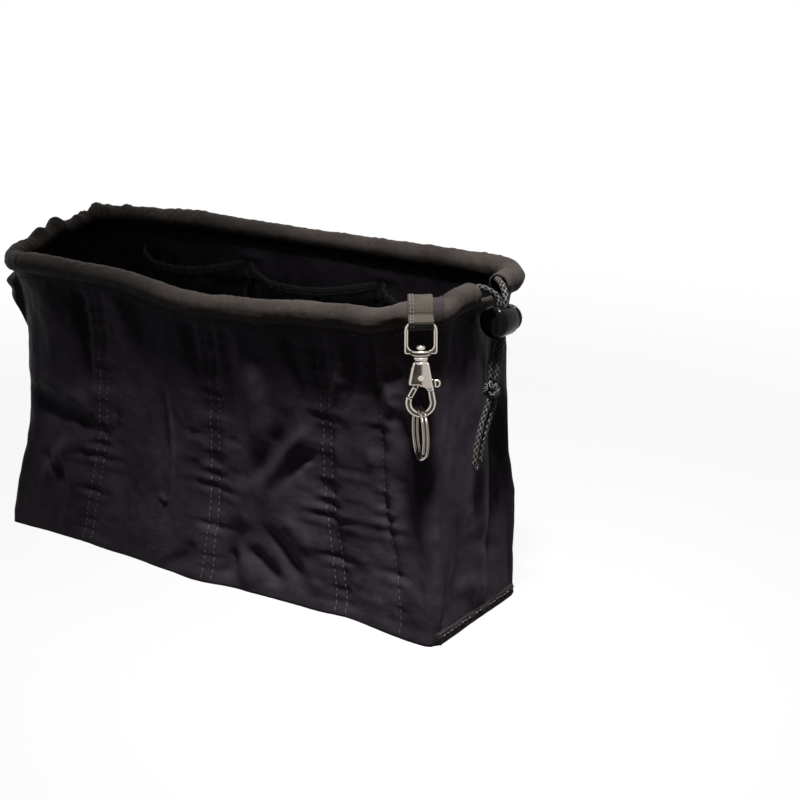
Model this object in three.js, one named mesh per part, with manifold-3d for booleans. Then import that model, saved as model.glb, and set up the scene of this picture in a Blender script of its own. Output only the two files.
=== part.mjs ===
// Purse organizer insert: a soft nylon box with inner pockets, a drawcord rim,
// a barrel cord lock on its right end and a swivel snap hook at its front right corner.
// Millimetres, +Z up. The origin is the middle of the base, +X runs along the length
// to the right, and the front faces -Y.

import * as THREE from 'three';
import { mergeVertices } from 'three/addons/utils/BufferGeometryUtils.js';
import Module from 'manifold-3d';

const wasm = await Module();
wasm.setup();

// Driving dimensions of the bag
const bagLength = 287;
const bagDepth = 76;
const rimHeight = 165.5;
const rimDip = 18;
const rimDepth = 84;
const rimInsetRight = 1.5;
const rimInsetLeft = 4.3;
const wallThickness = 1.4;
const clearance = 0.3;

// How the walls lean and swell between the floor and the rim
const leftWaist = 8;
const rightBulge = 3.3;
const depthWaist = 4;
const bayBulge = 2.4;
const hemWave = 5;
const floorCornerRadius = 6;
const leftRimRadius = 32;
const frontRightRimRadius = 20;
const rearRightRimRadius = 18;
const leftFoldBulge = 8;

// Main folds of the cloth on the front and the back
const foldWidth = 6;
const foldHeight = 5;
const seamHold = 5.2;

// Rim casing, and the cord inside it
const casingRadius = 6;
const casingBoreRadius = 4.6;
const gatherBulge = 1.6;
const cordRadius = 1.5;
const cordGapFront = -8;
const cordGapRear = 16;

// Right end of the rim's centre line, which the cord's free ends and their lock hang from
const rimEnd = new THREE.Vector3(bagLength / 2 - rimInsetRight, 0, rimHeight);

// Tapes, pockets and their elastic tops
const bindingHeight = 6;
const bindingThickness = 3.2;
const pocketThickness = 1;
const elasticHeight = 5;
const elasticThickness = 2;
const backPocketDrop = 19.5;
const backPocketDepth = 19;
const frontPocketDrop = 33;
const frontPocketDepth = 13;
const endPocketDrop = 27.5;
const endPocketDepth = 15;
const pocketEdge = 2.2;

// Webbing tab that carries the snap hook
const tabWidth = 11.2;
const tabThickness = 1.2;
const tabTurn = 36;
const tabLoopRadius = 2.05;
const tabDrop = 1.2;
const tabReturn = 1.2;
const bandWidth = 5;
const bandThickness = 0.9;

// Angles round the casing, from straight out, between which the tab, its overlap and the band lie
const tabAngles = [205, 10];
const overlapAngles = [14, 48];
const bandAngles = [215, -35];

// Swivel snap hook
const eyeWidth = 14.6;
const eyeHeight = 15.9;
const eyeSideWall = 1.3;
const eyeBar = 2.2;
const eyeBaseHeight = 2.6;
const eyeTopRadius = 2;
const eyeFootRadius = 0.8;
const bossRadius = 2.9;
const studRadius = 1.3;
const studHeadRadius = 2.4;
const studHeadHeight = 2.4;
const studSocketDepth = 4;
const neckHeight = 2.6;
const neckRadius = 3.2;
const hookHeight = 25.7;
const hookTopHalfWidth = 3.5;
const hookBowRadius = 6.8;
const hookWireWidth = 2.7;
const hookWireThickness = 2.8;
const hookChamfer = 0.7;
const housingThickness = 4.6;
const housingHeight = 13;
const openingApexHalfWidth = 2.8;
const openingApexDrop = 4.8;
const rivetDrop = 7;
const rivetRadius = 0.9;
const slotThickness = 2.2;
const slotRise = 4.2;
const slotDrop = 5;
const gateThickness = 1.6;
const gateTipThickness = 2.8;
const gateHubRadius = 2;
const gateAngle = -118;
const gateTipStart = 5.4;
const gateReach = 10.6;
const gateWidth = 2.4;
const gateWindowTop = 3.2;
const gateWindowEdge = 0.4;
const leverReach = 8.8;
const leverTop = 0.7;
const leverHeight = 4;
const leverNeckWidth = 2.4;
const leverPadLength = 2.8;
const leverPadThickness = 3.6;
const shoulderWidth = 1.8;
const shoulderRise = 0.9;
const shoulderPlace = 2.6;
const gateSpringWire = 0.16;
const gateSpringRadius = 0.62;
const gateSpringTurns = 3;

// Split ring
const ringRadius = 12.5;
const ringWire = 0.65;
const ringTurnGap = 0.45;
const ringTurn = 9;
const ringEndAngle = 28;
const ringStepAngle = 22;
const ringOpenTurn = 150;

// Barrel cord lock, and where it hangs
const lockOffset = new THREE.Vector3(9.76, 2, -12.9);
const lockLeanSide = 4.5;
const lockLeanBack = 3.3;
const barrelRadius = 7.5;
const barrelBack = 8.3;
const barrelMouth = 4.7;
const barrelWall = 1.4;
const barrelBore = 5.5;
const plungerRadius = 5.2;
const plungerTravel = 2.5;
const plungerTail = 3.2;
const buttonRadius = 6.3;
const buttonThickness = 2.2;
const barrelRounding = 0.6;
const strandSpacing = 3.3;
const lockSpringWire = 0.22;
const lockSpringRadius = 3.4;
const lockSpringTurns = 3;

// Knot in the two free strands
const knotOffset = new THREE.Vector3(7, 0.1, -46);
const knotRadius = 4;
const knotHeight = 8;

// Where the rows of stitching divide the front and the back, as shares of the length from the left
const frontStitchShares = [0.255, 0.512, 0.748, 0.857];
const backStitchShares = [0.384, 0.68];
const pocketStartShare = 0.12;
const pocketEndShare = 0.915;
const endPocketShares = [0.275, 0.725];

// Rim centre line: how much of rimDip it lies below rimHeight, by station round the bag
const rimDropShares = [
  [0, 0.78], [0.12, 0.61], [0.3, 0.63], [0.5, 0.95], [0.6, 0.84], [0.75, 0.605], [0.85, 0.51],
  [0.945, 0.2165], [1.12, 0.2165], [1.27, 0.03], [1.45, 0], [1.7, 0.036],
  [2.2, -0.05], [2.72, -0.05], [2.85, 0.035], [3, 0.13], [3.2, 0.4], [3.35, 0.38], [3.5, 0.52],
  [3.75, 0.735], [4, 0.78],
];

// Front hem on the floor: how far it wanders out, as shares of hemWave along the front
const frontHemShares = [
  [0, 0], [0.1, 0.3], [0.2, 0.05], [0.33, 0.3], [0.5, 1], [0.58, 0.1], [0.7, -0.2],
  [0.77, -0.6], [0.87, 0.3], [0.95, 0.2], [1, 0],
];

// Folds of the front and of the back. Each runs between two places, given as shares of bagLength from
// the middle and of rimHeight from the floor, with its share of foldWidth and of foldHeight, which is
// below zero for a valley.
const frontFoldShares = [
  [-0.256, 0.92, -0.286, 0.5, 0.73, -0.6], [-0.338, 0.91, -0.362, 0.53, 1.83, 0.44],
  [-0.415, 0.46, -0.216, 0.37, 1.08, -0.78], [-0.425, 0.54, -0.244, 0.45, 0.83, 0.4],
  [-0.411, 0.17, -0.3, 0.37, 0.8, 0.52], [-0.404, 0.28, -0.341, 0.2, 0.7, -0.44],
  [0.129, 0.77, 0.132, 0.47, 1, 0.44], [0.181, 0.56, 0.115, 0.36, 0.8, -0.56],
  [0.094, 0.21, 0.084, 0.36, 1.5, 0.48], [-0.01, 0.11, -0.077, -0.01, 0.83, -0.6],
  [0.077, 0.14, 0.031, -0.02, 0.83, -0.68], [0.105, 0.15, 0.174, 0.05, 0.83, -0.6],
  [0.139, 0.36, 0.244, 0.58, 0.7, 0.44], [0.139, 0.23, 0.23, 0.06, 0.8, -0.48],
  [0.328, 0.85, 0.286, 0.68, 0.7, 0.44], [0.373, 0.74, 0.436, 0.83, 0.7, -0.64],
  [0.39, 0.7, 0.446, 0.58, 0.8, -0.52], [0.422, 0.53, 0.429, 0.12, 1, -0.48],
  [0.362, 0.58, 0.404, 0.36, 0.83, 0.32], [0.077, 0.79, 0.07, 0.42, 1, -0.28],
  [-0.174, 0.91, -0.132, 0.6, 1, 0.26],
];
const backFoldShares = [
  [-0.418, 0.85, -0.39, 0.36, 0.83, -0.44], [-0.334, 0.91, -0.314, 0.51, 1, 0.36],
  [-0.272, 0.66, -0.209, 0.36, 0.83, -0.4], [-0.181, 0.36, -0.23, 0.07, 1, 0.36],
  [-0.07, 0.89, -0.098, 0.48, 0.83, 0.32], [-0.028, 0.51, 0.049, 0.24, 0.83, -0.48],
  [0.07, 0.21, 0.007, 0, 0.83, -0.44], [0.105, 0.24, 0.153, 0.02, 0.83, 0.4],
  [0.244, 0.88, 0.202, 0.58, 0.83, -0.4], [0.286, 0.73, 0.321, 0.31, 1, 0.4],
  [0.362, 0.54, 0.293, 0.23, 0.8, -0.44], [0.404, 0.85, 0.418, 0.42, 0.83, 0.32],
];

// Where the casing is bunched up by its cord, as stations round the bag
const gatherShares = [2.78, 2.97, 3.3, 3.6];

// Levels of the wall grid between floor and rim
const wallLevelShares = [0, 0.07, 0.15, 0.24, 0.34, 0.44, 0.54, 0.64, 0.74, 0.84, 0.94, 1];

const straightSteps = 28;
const casingSteps = 16;
const endSteps = 4;
const cornerSteps = 2;
const longCornerShare = 0.1;
const endCornerShare = 0.26;
const pocketSteps = 8;
const tabSteps = 3;
const bandSteps = 2;
const casingArcSteps = 10;
const bandArcSteps = 14;
const loopArcSteps = 6;
const overlapArcSteps = 3;
const roundSides = 10;
const cordSides = 8;
const wireSides = 6;
const curveSides = 9;
const ringSteps = 48;
const waistShare = 0.45;
const hemShare = 0.4;
const foldPlaceShares = [0.8, 0.87];
const foldWidthShares = [0.18, 0.09];
const gatherWidthShare = 0.035;
const mouthShare = 0.02;
const archPower = 2.4;
const narrowPocketShare = 0.35;
const foldFadeShare = 0.12;
const foldFadeLengthShare = 0.4;
const foldBowShare = 0.05;
const foldEdgeShare = 0.06;
const seamHoldShare = 0.75;

const nylon = new THREE.MeshStandardMaterial({ color: 0x1d181f, roughness: 0.62, metalness: 0 });
const casingNylon = new THREE.MeshStandardMaterial({ color: 0x2c2829, roughness: 0.6, metalness: 0 });
const liningNylon = new THREE.MeshStandardMaterial({ color: 0x141215, roughness: 0.55, metalness: 0 });
const elasticKnit = new THREE.MeshStandardMaterial({ color: 0x1a1a1b, roughness: 0.8, metalness: 0 });
const webbing = new THREE.MeshStandardMaterial({ color: 0x322f2e, roughness: 0.7, metalness: 0 });
const speckledCord = new THREE.MeshStandardMaterial({ color: 0x3a3a3c, roughness: 0.75, metalness: 0 });
const blackPlastic = new THREE.MeshStandardMaterial({ color: 0x08090b, roughness: 0.22, metalness: 0 });
const nickel = new THREE.MeshStandardMaterial({ color: 0xc9bfb8, roughness: 0.18, metalness: 1 });
const springSteel = new THREE.MeshStandardMaterial({ color: 0x9a9a9c, roughness: 0.3, metalness: 1 });

const group = new THREE.Group();

const radians = THREE.MathUtils.degToRad;
const lerp = THREE.MathUtils.lerp;

function smooth(share) {
  const held = THREE.MathUtils.clamp(share, 0, 1);
  return held * held * (3 - 2 * held);
}

// Value of a table of [place, share] rows at a place, eased between the rows.
function tableAt(rows, place) {
  const next = rows.findIndex((row) => row[0] >= place);
  if (next <= 0) return rows[0][1];
  const [before, after] = [rows[next - 1], rows[next]];
  return lerp(before[1], after[1], smooth((place - before[0]) / (after[0] - before[0])));
}

function addPart(name, geometry, material, parent = group) {
  const mesh = new THREE.Mesh(geometry, material);
  mesh.name = name;
  parent.add(mesh);
  return mesh;
}

// Closed mesh from rings of points. Each ring holds the outline's points and then each hole's,
// and the outline and holes give the same points flat, for the two end caps.
function loft(rings, outline, holes = [], faces = THREE.ShapeUtils.triangulateShape(outline, holes)) {
  const size = rings[0].length;
  const index = [];
  const contours = [outline, ...holes];
  for (let i = 0; i + 1 < rings.length; i++) {
    let start = i * size;
    for (const contour of contours) {
      for (let j = 0; j < contour.length; j++) {
        const a = start + j;
        const b = start + ((j + 1) % contour.length);
        index.push(a, b, b + size, a, b + size, a + size);
      }
      start += contour.length;
    }
  }
  const flat = contours.flat();
  const last = (rings.length - 1) * size;
  for (const face of faces) {
    const [a, b, c] = THREE.ShapeUtils.area(face.map((k) => flat[k])) > 0 ? face : [...face].reverse();
    index.push(a, c, b, last + a, last + b, last + c);
  }
  const geometry = new THREE.BufferGeometry();
  const places = rings.flat().flatMap((p) => [p.x, p.y, p.z]);
  geometry.setAttribute('position', new THREE.Float32BufferAttribute(places, 3));
  geometry.setIndex(index);
  return facingOut(geometry);
}

// Sheet from rings that each run up one face and down the other, so its caps are strips
function loftSheet(rings) {
  const rows = rings[0].length / 2;
  const up = Array.from({ length: rows }, (_, row) => new THREE.Vector2(1, row));
  const down = up.map((p) => new THREE.Vector2(0, p.y)).reverse();
  const faces = [];
  for (let row = 0; row + 1 < rows; row++) {
    const across = 2 * rows - 1 - row;
    faces.push([row, row + 1, across], [row + 1, across - 1, across]);
  }
  return loft(rings, [...up, ...down], [], faces);
}

function facingOut(geometry) {
  const { position } = geometry.attributes;
  const at = (k) => new THREE.Vector3().fromBufferAttribute(position, geometry.index.getX(k));
  let volume = 0;
  for (let k = 0; k < geometry.index.count; k += 3) volume += at(k).dot(at(k + 1).cross(at(k + 2)));
  if (volume < 0) geometry.setIndex([...geometry.index.array].reverse());
  return geometry;
}

function circle(radius, sides) {
  return Array.from({ length: sides }, (_, k) => {
    const angle = (2 * Math.PI * k) / sides;
    return new THREE.Vector2(radius * Math.cos(angle), radius * Math.sin(angle));
  });
}

function solidOf(geometry) {
  const bare = geometry.clone();
  for (const name of Object.keys(bare.attributes)) if (name !== 'position') bare.deleteAttribute(name);
  const merged = mergeVertices(bare, 1e-4);
  return new wasm.Manifold(new wasm.Mesh({
    numProp: 3,
    vertProperties: new Float32Array(merged.attributes.position.array),
    triVerts: new Uint32Array(merged.index.array),
  }));
}

function geometryOf(solid) {
  const { vertProperties, triVerts } = solid.getMesh();
  const geometry = new THREE.BufferGeometry();
  geometry.setAttribute('position', new THREE.BufferAttribute(new Float32Array(vertProperties), 3));
  geometry.setIndex(new THREE.BufferAttribute(new Uint32Array(triVerts), 1));
  return geometry;
}

// Plan outline of the walls at a level: 0 is the floor and 1 the rim's centre line.
function outlineAt(level) {
  const swell = Math.sin(Math.PI * level);
  const half = bagLength / 2;
  const depth = bagDepth / 2 - depthWaist * swell + (rimDepth - bagDepth) / 2 * level ** 5;
  const right = half - rimInsetRight * level + rightBulge * swell * (1 - level);
  const waist = half - leftWaist * smooth(level / waistShare);
  const left = waist + (leftWaist - rimInsetLeft) * level ** 6;
  return [
    { x: -left, y: -depth, radius: lerp(floorCornerRadius, leftRimRadius, level) },
    { x: right, y: -depth, radius: lerp(floorCornerRadius, frontRightRimRadius, smooth(2 * level)) },
    { x: right, y: depth, radius: lerp(floorCornerRadius, rearRightRimRadius, level) },
    { x: -left, y: depth, radius: lerp(floorCornerRadius, leftRimRadius, level) },
  ];
}

// The four sides run front, right end, back, left end; a station's whole part is its side.
function splitStation(station) {
  const side = Math.min(Math.floor(station), 3);
  return { side, share: station - side, corner: side % 2 ? endCornerShare : longCornerShare };
}

// How far the cloth stands out from the plain outline
function bulgeAt(station, level) {
  const { side, share } = splitStation(station);
  const swell = Math.sin(Math.PI * level);
  if (side === 3) {
    const away = [share, level].map((at, k) => (at - foldPlaceShares[k]) / foldWidthShares[k]);
    return leftFoldBulge * Math.exp(-(away[0] ** 2) - away[1] ** 2);
  }
  if (side === 1) return 0;
  const seams = side === 0 ? [longCornerShare, ...frontStitchShares, 1 - longCornerShare]
    : [longCornerShare, ...backStitchShares.map((at) => 1 - at).reverse(), 1 - longCornerShare];
  const next = seams.findIndex((at) => at > share);
  const across = next > 0 ? (share - seams[next - 1]) / (seams[next] - seams[next - 1]) : 0;
  const bay = Math.sin(Math.PI * across);
  const hem = side === 0 ? hemWave * tableAt(frontHemShares, share) * (1 - smooth(level / hemShare)) : 0;
  return bayBulge * swell * bay + hem;
}

// Point of the plain outline, and its outward normal, as a plan position.
function outlinePoint(station, level) {
  const { side, share, corner } = splitStation(station);
  const corners = outlineAt(level);
  const turn = side * 90 - 90;
  const centre = (at) => {
    const { x, y, radius } = corners[at % 4];
    return new THREE.Vector2(x - Math.sign(x) * radius, y - Math.sign(y) * radius);
  };
  const onCorner = (at, angle) => centre(at).add(normalOf(angle).multiplyScalar(corners[at % 4].radius));
  let angle = turn;
  let place;
  if (share < corner) {
    angle = turn - 45 * (1 - share / corner);
    place = onCorner(side, angle);
  } else if (share > 1 - corner) {
    angle = turn + 45 * (share - 1 + corner) / corner;
    place = onCorner(side + 1, angle);
  } else {
    place = onCorner(side, turn).lerp(onCorner(side + 1, turn), (share - corner) / (1 - 2 * corner));
  }
  return { place, normal: normalOf(angle) };
}

// Point of the wall's outer face, and its outward normal, as a plan position, with its folds or a
// share of them.
function planPoint(station, level, foldShare = 1) {
  const { place, normal } = outlinePoint(station, level);
  const out = bulgeAt(station, level) + foldShare * foldOnWall(station, level);
  return { place: place.addScaledVector(normal, out), normal };
}

// Height of the folds that cross a place on a long side, which fade towards their ends
function foldSum(folds, x, z) {
  return folds.reduce((height, [fromX, fromZ, toX, toZ, width, rise]) => {
    const run = new THREE.Vector2((toX - fromX) * bagLength, (toZ - fromZ) * rimHeight);
    const away = new THREE.Vector2(x - fromX * bagLength, z - fromZ * rimHeight);
    const share = away.dot(run) / run.lengthSq();
    const bow = foldBowShare * run.length() * (4 * share * (1 - share) - 0.5);
    const off = (away.cross(run) / run.length() + bow) / (width * foldWidth);
    const ends = [share, 1 - share].map((at) => smooth((at + foldFadeShare) / foldFadeLengthShare));
    return height + rise * foldHeight * ends[0] * ends[1] * Math.exp(-off * off);
  }, 0);
}

// Folds at a point of the wall's grid. The seams, the hem and the casing hold the cloth.
function foldAt(station, level) {
  const { side, share, corner } = splitStation(station);
  const folds = side === 0 ? frontFoldShares : backFoldShares;
  const seams = side === 0 ? frontStitchShares : backStitchShares.map((at) => 1 - at);
  const held = Math.max(...seams.map((at) => Math.exp(-(((share - at) * bagLength / seamHold) ** 2))));
  const ends = smooth(share / corner) * smooth((1 - share) / corner);
  const edges = smooth(level / foldEdgeShare) * smooth((1 - level) / foldEdgeShare);
  const { place } = outlinePoint(station, level);
  const height = foldSum(folds, place.x, level * wallTop(station));
  return height * (1 - seamHoldShare * held) * ends * edges;
}

// Folds between the points of the wall's grid, as straight as the wall itself is there
function foldOnWall(station, level) {
  const { side } = splitStation(station);
  if (side % 2) return 0;
  const stations = sideStations(side);
  const next = Math.max(stations.findIndex((at) => at >= station), 1);
  const [before, after] = [stations[next - 1], stations[next]];
  return lerp(foldAt(before, level), foldAt(after, level), (station - before) / (after - before));
}

function normalOf(degrees) {
  return new THREE.Vector2(Math.cos(radians(degrees)), Math.sin(radians(degrees)));
}

function rimZ(station) {
  return rimHeight - rimDip * tableAt(rimDropShares, station);
}

function wallTop(station) {
  return rimZ(station) - casingRadius - clearance;
}

// Frame of the rim's centre line: outward and up from a point on it.
function rimFrame(station) {
  const { place, normal } = planPoint(station, 1);
  return {
    centre: new THREE.Vector3(place.x, place.y, rimZ(station)),
    outward: new THREE.Vector3(normal.x, normal.y, 0),
  };
}

function framePoint(frame, across, up) {
  return frame.centre.clone().addScaledVector(frame.outward, across).add(new THREE.Vector3(0, 0, up));
}

// Stations along one side, fine round the corners
function sideStations(side, steps = side % 2 ? endSteps : straightSteps) {
  const corner = side % 2 ? endCornerShare : longCornerShare;
  const shares = [];
  for (let k = 0; k < cornerSteps; k++) shares.push(corner * k / cornerSteps);
  for (let k = 0; k <= steps; k++) shares.push(corner + (1 - 2 * corner) * k / steps);
  for (let k = 1; k <= cornerSteps; k++) shares.push(1 - corner + corner * k / cornerSteps);
  return shares.map((share) => side + Math.min(share, 1 - 1e-9));
}

// Face of the wall at a height, flat between the rows of its grid
function wallSpot(station, z, depth, foldShare = 1) {
  const level = z / wallTop(station);
  const next = Math.max(wallLevelShares.findIndex((row) => row >= level - 1e-9), 1);
  const [below, above] = [wallLevelShares[next - 1], wallLevelShares[next]];
  const [low, high] = [below, above].map((row) => {
    const { place, normal } = planPoint(station, row, foldShare);
    return place.addScaledVector(normal, -depth);
  });
  return low.lerp(high, (level - below) / (above - below));
}

// Step along the wall that leaves a gap where two sides meet
function endGap(station, k, count) {
  const { normal } = planPoint(station, 0);
  const ends = (k === 0 ? 1 : 0) - (k === count - 1 ? 1 : 0);
  return new THREE.Vector2(-normal.y, normal.x).multiplyScalar(ends * clearance / 2);
}

// Wall panel: outer and inner faces of one side, from its foot to below the casing
function wallPanel(side, foot) {
  const stations = sideStations(side);
  const rings = stations.map((station, k) => {
    const gap = endGap(station, k, stations.length);
    const face = (depth) => wallLevelShares.map((level) => {
      const z = Math.max(foot, level * wallTop(station));
      const spot = wallSpot(station, z, depth).add(gap);
      return new THREE.Vector3(spot.x, spot.y, z);
    });
    return [...face(0), ...face(wallThickness).reverse()];
  });
  return loftSheet(rings);
}

addPart('front_panel', wallPanel(0, 0), nylon);
addPart('right_end_panel', wallPanel(1, bindingHeight + clearance), nylon);
addPart('back_panel', wallPanel(2, 0), nylon);
addPart('left_end_panel', wallPanel(3, bindingHeight + clearance), nylon);

// Floor: fills the walls' foot. Its edge runs along the front to the right end and back along the rear.
function floorPanel() {
  const inset = Math.max(wallThickness, bindingThickness) + clearance;
  const stations = [0, 2].flatMap((side) => [
    ...sideStations((side + 3) % 4).slice(-cornerSteps - 1, -1),
    ...sideStations(side),
    ...sideStations(side + 1).slice(1, cornerSteps + 1),
  ]);
  return loftSheet([0, wallThickness].map((z) => stations.map((station) => {
    const { place, normal } = planPoint(station, 0);
    return new THREE.Vector3(place.x - normal.x * inset, place.y - normal.y * inset, z);
  })));
}

addPart('bottom_panel', floorPanel(), nylon);

// Bound seam along the foot of each end
function seamBinding(side) {
  const half = bindingThickness / 2;
  const soft = bindingThickness / 3;
  const profile = [
    [-half, 0], [half, 0], [half, bindingHeight - soft], [half - soft, bindingHeight],
    [soft - half, bindingHeight], [-half, bindingHeight - soft],
  ].map(([across, up]) => new THREE.Vector2(across, up));
  const stations = sideStations(side);
  const rings = stations.map((station, k) => {
    const gap = endGap(station, k, stations.length);
    return profile.map((p) => {
      const spot = wallSpot(station, p.y, half - p.x).add(gap);
      return new THREE.Vector3(spot.x, spot.y, p.y);
    });
  });
  return loft(rings, profile);
}

addPart('right_seam_binding', seamBinding(1), casingNylon);
addPart('left_seam_binding', seamBinding(3), casingNylon);

// Rim casing: from its mouth on the right end, round the front, left end and back, to its other mouth
function stationOnRightEnd(y) {
  let [low, high] = [1, 2];
  for (let k = 0; k < 40; k++) {
    const middle = (low + high) / 2;
    if (planPoint(middle, 1).place.y < y) low = middle;
    else high = middle;
  }
  return low;
}

const casingStart = stationOnRightEnd(cordGapFront);
const casingEnd = stationOnRightEnd(cordGapRear);

function casingStations() {
  const front = sideStations(0, casingSteps).reverse();
  const left = sideStations(3).reverse();
  const back = sideStations(2, casingSteps).reverse();
  const right = sideStations(1);
  return [
    casingStart, ...right.filter((at) => at < casingStart - mouthShare).reverse(),
    ...front.slice(1), ...left.slice(1), ...back.slice(1),
    ...right.filter((at) => at > casingEnd + mouthShare).reverse().slice(1), casingEnd,
  ];
}

function gatherAt(station) {
  return gatherShares.reduce((most, at) => (
    Math.max(most, Math.exp(-(((station - at) / gatherWidthShare) ** 2)))), 0);
}

function rimCasing() {
  const outer = circle(casingRadius, roundSides);
  const inner = circle(casingBoreRadius, cordSides).reverse();
  const rings = casingStations().map((station) => {
    const frame = rimFrame(station);
    const swollen = 1 + gatherBulge / casingRadius * gatherAt(station);
    return [
      ...outer.map((p) => framePoint(frame, p.x * swollen, p.y > 0 ? p.y * swollen : p.y)),
      ...inner.map((p) => framePoint(frame, p.x, p.y)),
    ];
  });
  return loft(rings, outer, [inner]);
}

addPart('rim_casing', rimCasing(), casingNylon);

// Drawcord inside the casing, lying along the top of its bore
const cordRise = casingBoreRadius * Math.cos(Math.PI / cordSides) - cordRadius - clearance;

function hiddenCord() {
  const section = circle(cordRadius, cordSides);
  const rings = casingStations().map((station) => {
    const frame = rimFrame(station);
    return section.map((p) => framePoint(frame, p.x, p.y + cordRise));
  });
  return loft(rings, section);
}

addPart('drawcord', hiddenCord(), speckledCord);

// Free ends of the drawcord. Each route's points are places of the cord's centre from the rim's end.
const frontStrandRoute = [
  [0.1, -7.6, 2.5], [0.3, -6.2, 2.8], [1.2, -4.4, 2.9], [2.6, -2.6, 2.5],
  [4.2, -0.8, 1.5], [5.8, 0.8, 0.1], [7.2, 2, -1.6], [8.3, 2.5, -3.5],
  [8.68, 2.5, -5.5], [8.53, 2.4, -7.5], [8.14, 2, -12.5], [7.74, 1.71, -17.5],
  [7.35, 1.42, -22.5], [6.96, 1.14, -27.5], [6.56, 0.85, -32.5], [6.17, 0.56, -37.5],
  [5.87, 0.34, -41.5],
];
const rearStrandRoute = [
  [0.1, 15, 2.3], [0.7, 13.9, 2.9], [1.8, 12.4, 3.1], [3.8, 10.4, 3.1],
  [6, 8.4, 2.7], [8.2, 6.4, 1.7], [10.2, 4.6, 0.1], [11.5, 3.2, -2.1],
  [11.85, 2.55, -4.5], [11.76, 2.4, -6.9], [11.44, 2, -12.5], [11.04, 1.71, -17.5],
  [10.65, 1.42, -22.5], [10.26, 1.14, -27.5], [9.86, 0.85, -32.5], [9.47, 0.56, -37.5],
  [9.15, 0.34, -41.5],
];
const frontTailRoute = [
  [6.6, -1.6, -50.3], [6.4, -2, -52.3], [6, -2.9, -55.1], [5.5, -4.1, -58.3],
  [5.2, -5.5, -61.9], [5, -6.9, -65.5], [4.9, -8.2, -69.1], [4.8, -9.3, -72.9],
  [4.8, -10.2, -76.9], [4.8, -10.9, -80.9],
];
const rearTailRoute = [
  [7.4, 1.8, -50.3], [7.3, 1.6, -52.3], [7, 0.9, -55.1], [6.5, -0.2, -58.3],
  [6.1, -1.5, -61.9], [5.8, -2.9, -65.5], [5.5, -4.3, -69.1], [5.3, -5.5, -72.9],
  [5.2, -6.5, -76.9], [5.2, -7.3, -80.9],
];

function cordAlong(route) {
  const curve = new THREE.CatmullRomCurve3(route.map((p) => new THREE.Vector3(...p).add(rimEnd)));
  const section = new THREE.Shape(circle(cordRadius, cordSides));
  const steps = route.length + 3;
  return new THREE.ExtrudeGeometry(section, { steps, bevelEnabled: false, extrudePath: curve });
}

addPart('cord_strand_front', cordAlong(frontStrandRoute), speckledCord);
addPart('cord_strand_rear', cordAlong(rearStrandRoute), speckledCord);
addPart('cord_tail_front', cordAlong(frontTailRoute), speckledCord);
addPart('cord_tail_rear', cordAlong(rearTailRoute), speckledCord);

// Overhand knot that stops the cord lock: a round lump with a waist
function knotLump() {
  const half = knotHeight / 2;
  const waist = knotRadius - cordRadius / 2;
  const flat = knotRadius - cordRadius / 3;
  return new THREE.LatheGeometry([
    new THREE.Vector2(0, -half), new THREE.Vector2(flat, -half), new THREE.Vector2(knotRadius, -half / 2),
    new THREE.Vector2(waist, 0), new THREE.Vector2(knotRadius, half / 2), new THREE.Vector2(flat, half),
    new THREE.Vector2(0, half),
  ], roundSides).rotateX(Math.PI / 2);
}

addPart('cord_knot', knotLump(), speckledCord).position.addVectors(rimEnd, knotOffset);

// Curved pocket panel inside a wall, between two stations of it. Only its edges follow the wall's folds.
function pocketRings(side, from, to, depth, low, high, thickness) {
  const rings = [];
  const near = wallTop(side + 0.5);
  const between = (z) => z > low + clearance && z < high - rimDip;
  const levels = wallLevelShares.filter((level) => between(level * near));
  const centres = [];
  for (let k = 0; k <= pocketSteps; k++) {
    const share = k / pocketSteps;
    const station = side + lerp(from, to, share);
    const arch = 1 - Math.abs(2 * share - 1) ** archPower;
    const rows = [low, ...levels.map((level) => level * wallTop(station)), high];
    centres.push(rows.map((z) => {
      const { normal } = planPoint(station, z / wallTop(station));
      const flat = new THREE.Vector2(Math.round(normal.x), Math.round(normal.y));
      const off = clearance + elasticThickness + depth * arch;
      return { spot: wallSpot(station, z, wallThickness, 1 - arch).addScaledVector(flat, -off), z };
    }));
  }
  centres.forEach((column, k) => {
    const before = centres[Math.max(k - 1, 0)];
    const after = centres[Math.min(k + 1, pocketSteps)];
    const face = (sign) => column.map(({ spot, z }, row) => {
      const along = after[row].spot.clone().sub(before[row].spot).normalize();
      return new THREE.Vector3(
        spot.x + sign * along.y * thickness / 2, spot.y - sign * along.x * thickness / 2, z);
    });
    rings.push([...face(1), ...face(-1).reverse()]);
  });
  return loftSheet(rings);
}

function addPocket(name, side, from, to, depth, drop) {
  const foot = wallThickness + clearance;
  const top = rimHeight - drop;
  addPart(`${name}_pocket`, pocketRings(side, from, to, depth, foot, top, pocketThickness), liningNylon);
  const low = top + clearance;
  const band = pocketRings(side, from, to, depth, low, low + elasticHeight, elasticThickness);
  addPart(`${name}_elastic`, band, elasticKnit);
}

const edgeShare = pocketEdge / bagLength;
const frontEdges = [pocketStartShare, ...frontStitchShares, pocketEndShare];
const backEdges = [pocketStartShare, ...backStitchShares, pocketEndShare].map((at) => 1 - at).reverse();
const frontNames = [
  'front_left', 'front_centre_left', 'front_centre_right', 'front_narrow', 'front_right',
];
const backNames = ['back_right', 'back_middle', 'back_left'];

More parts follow.
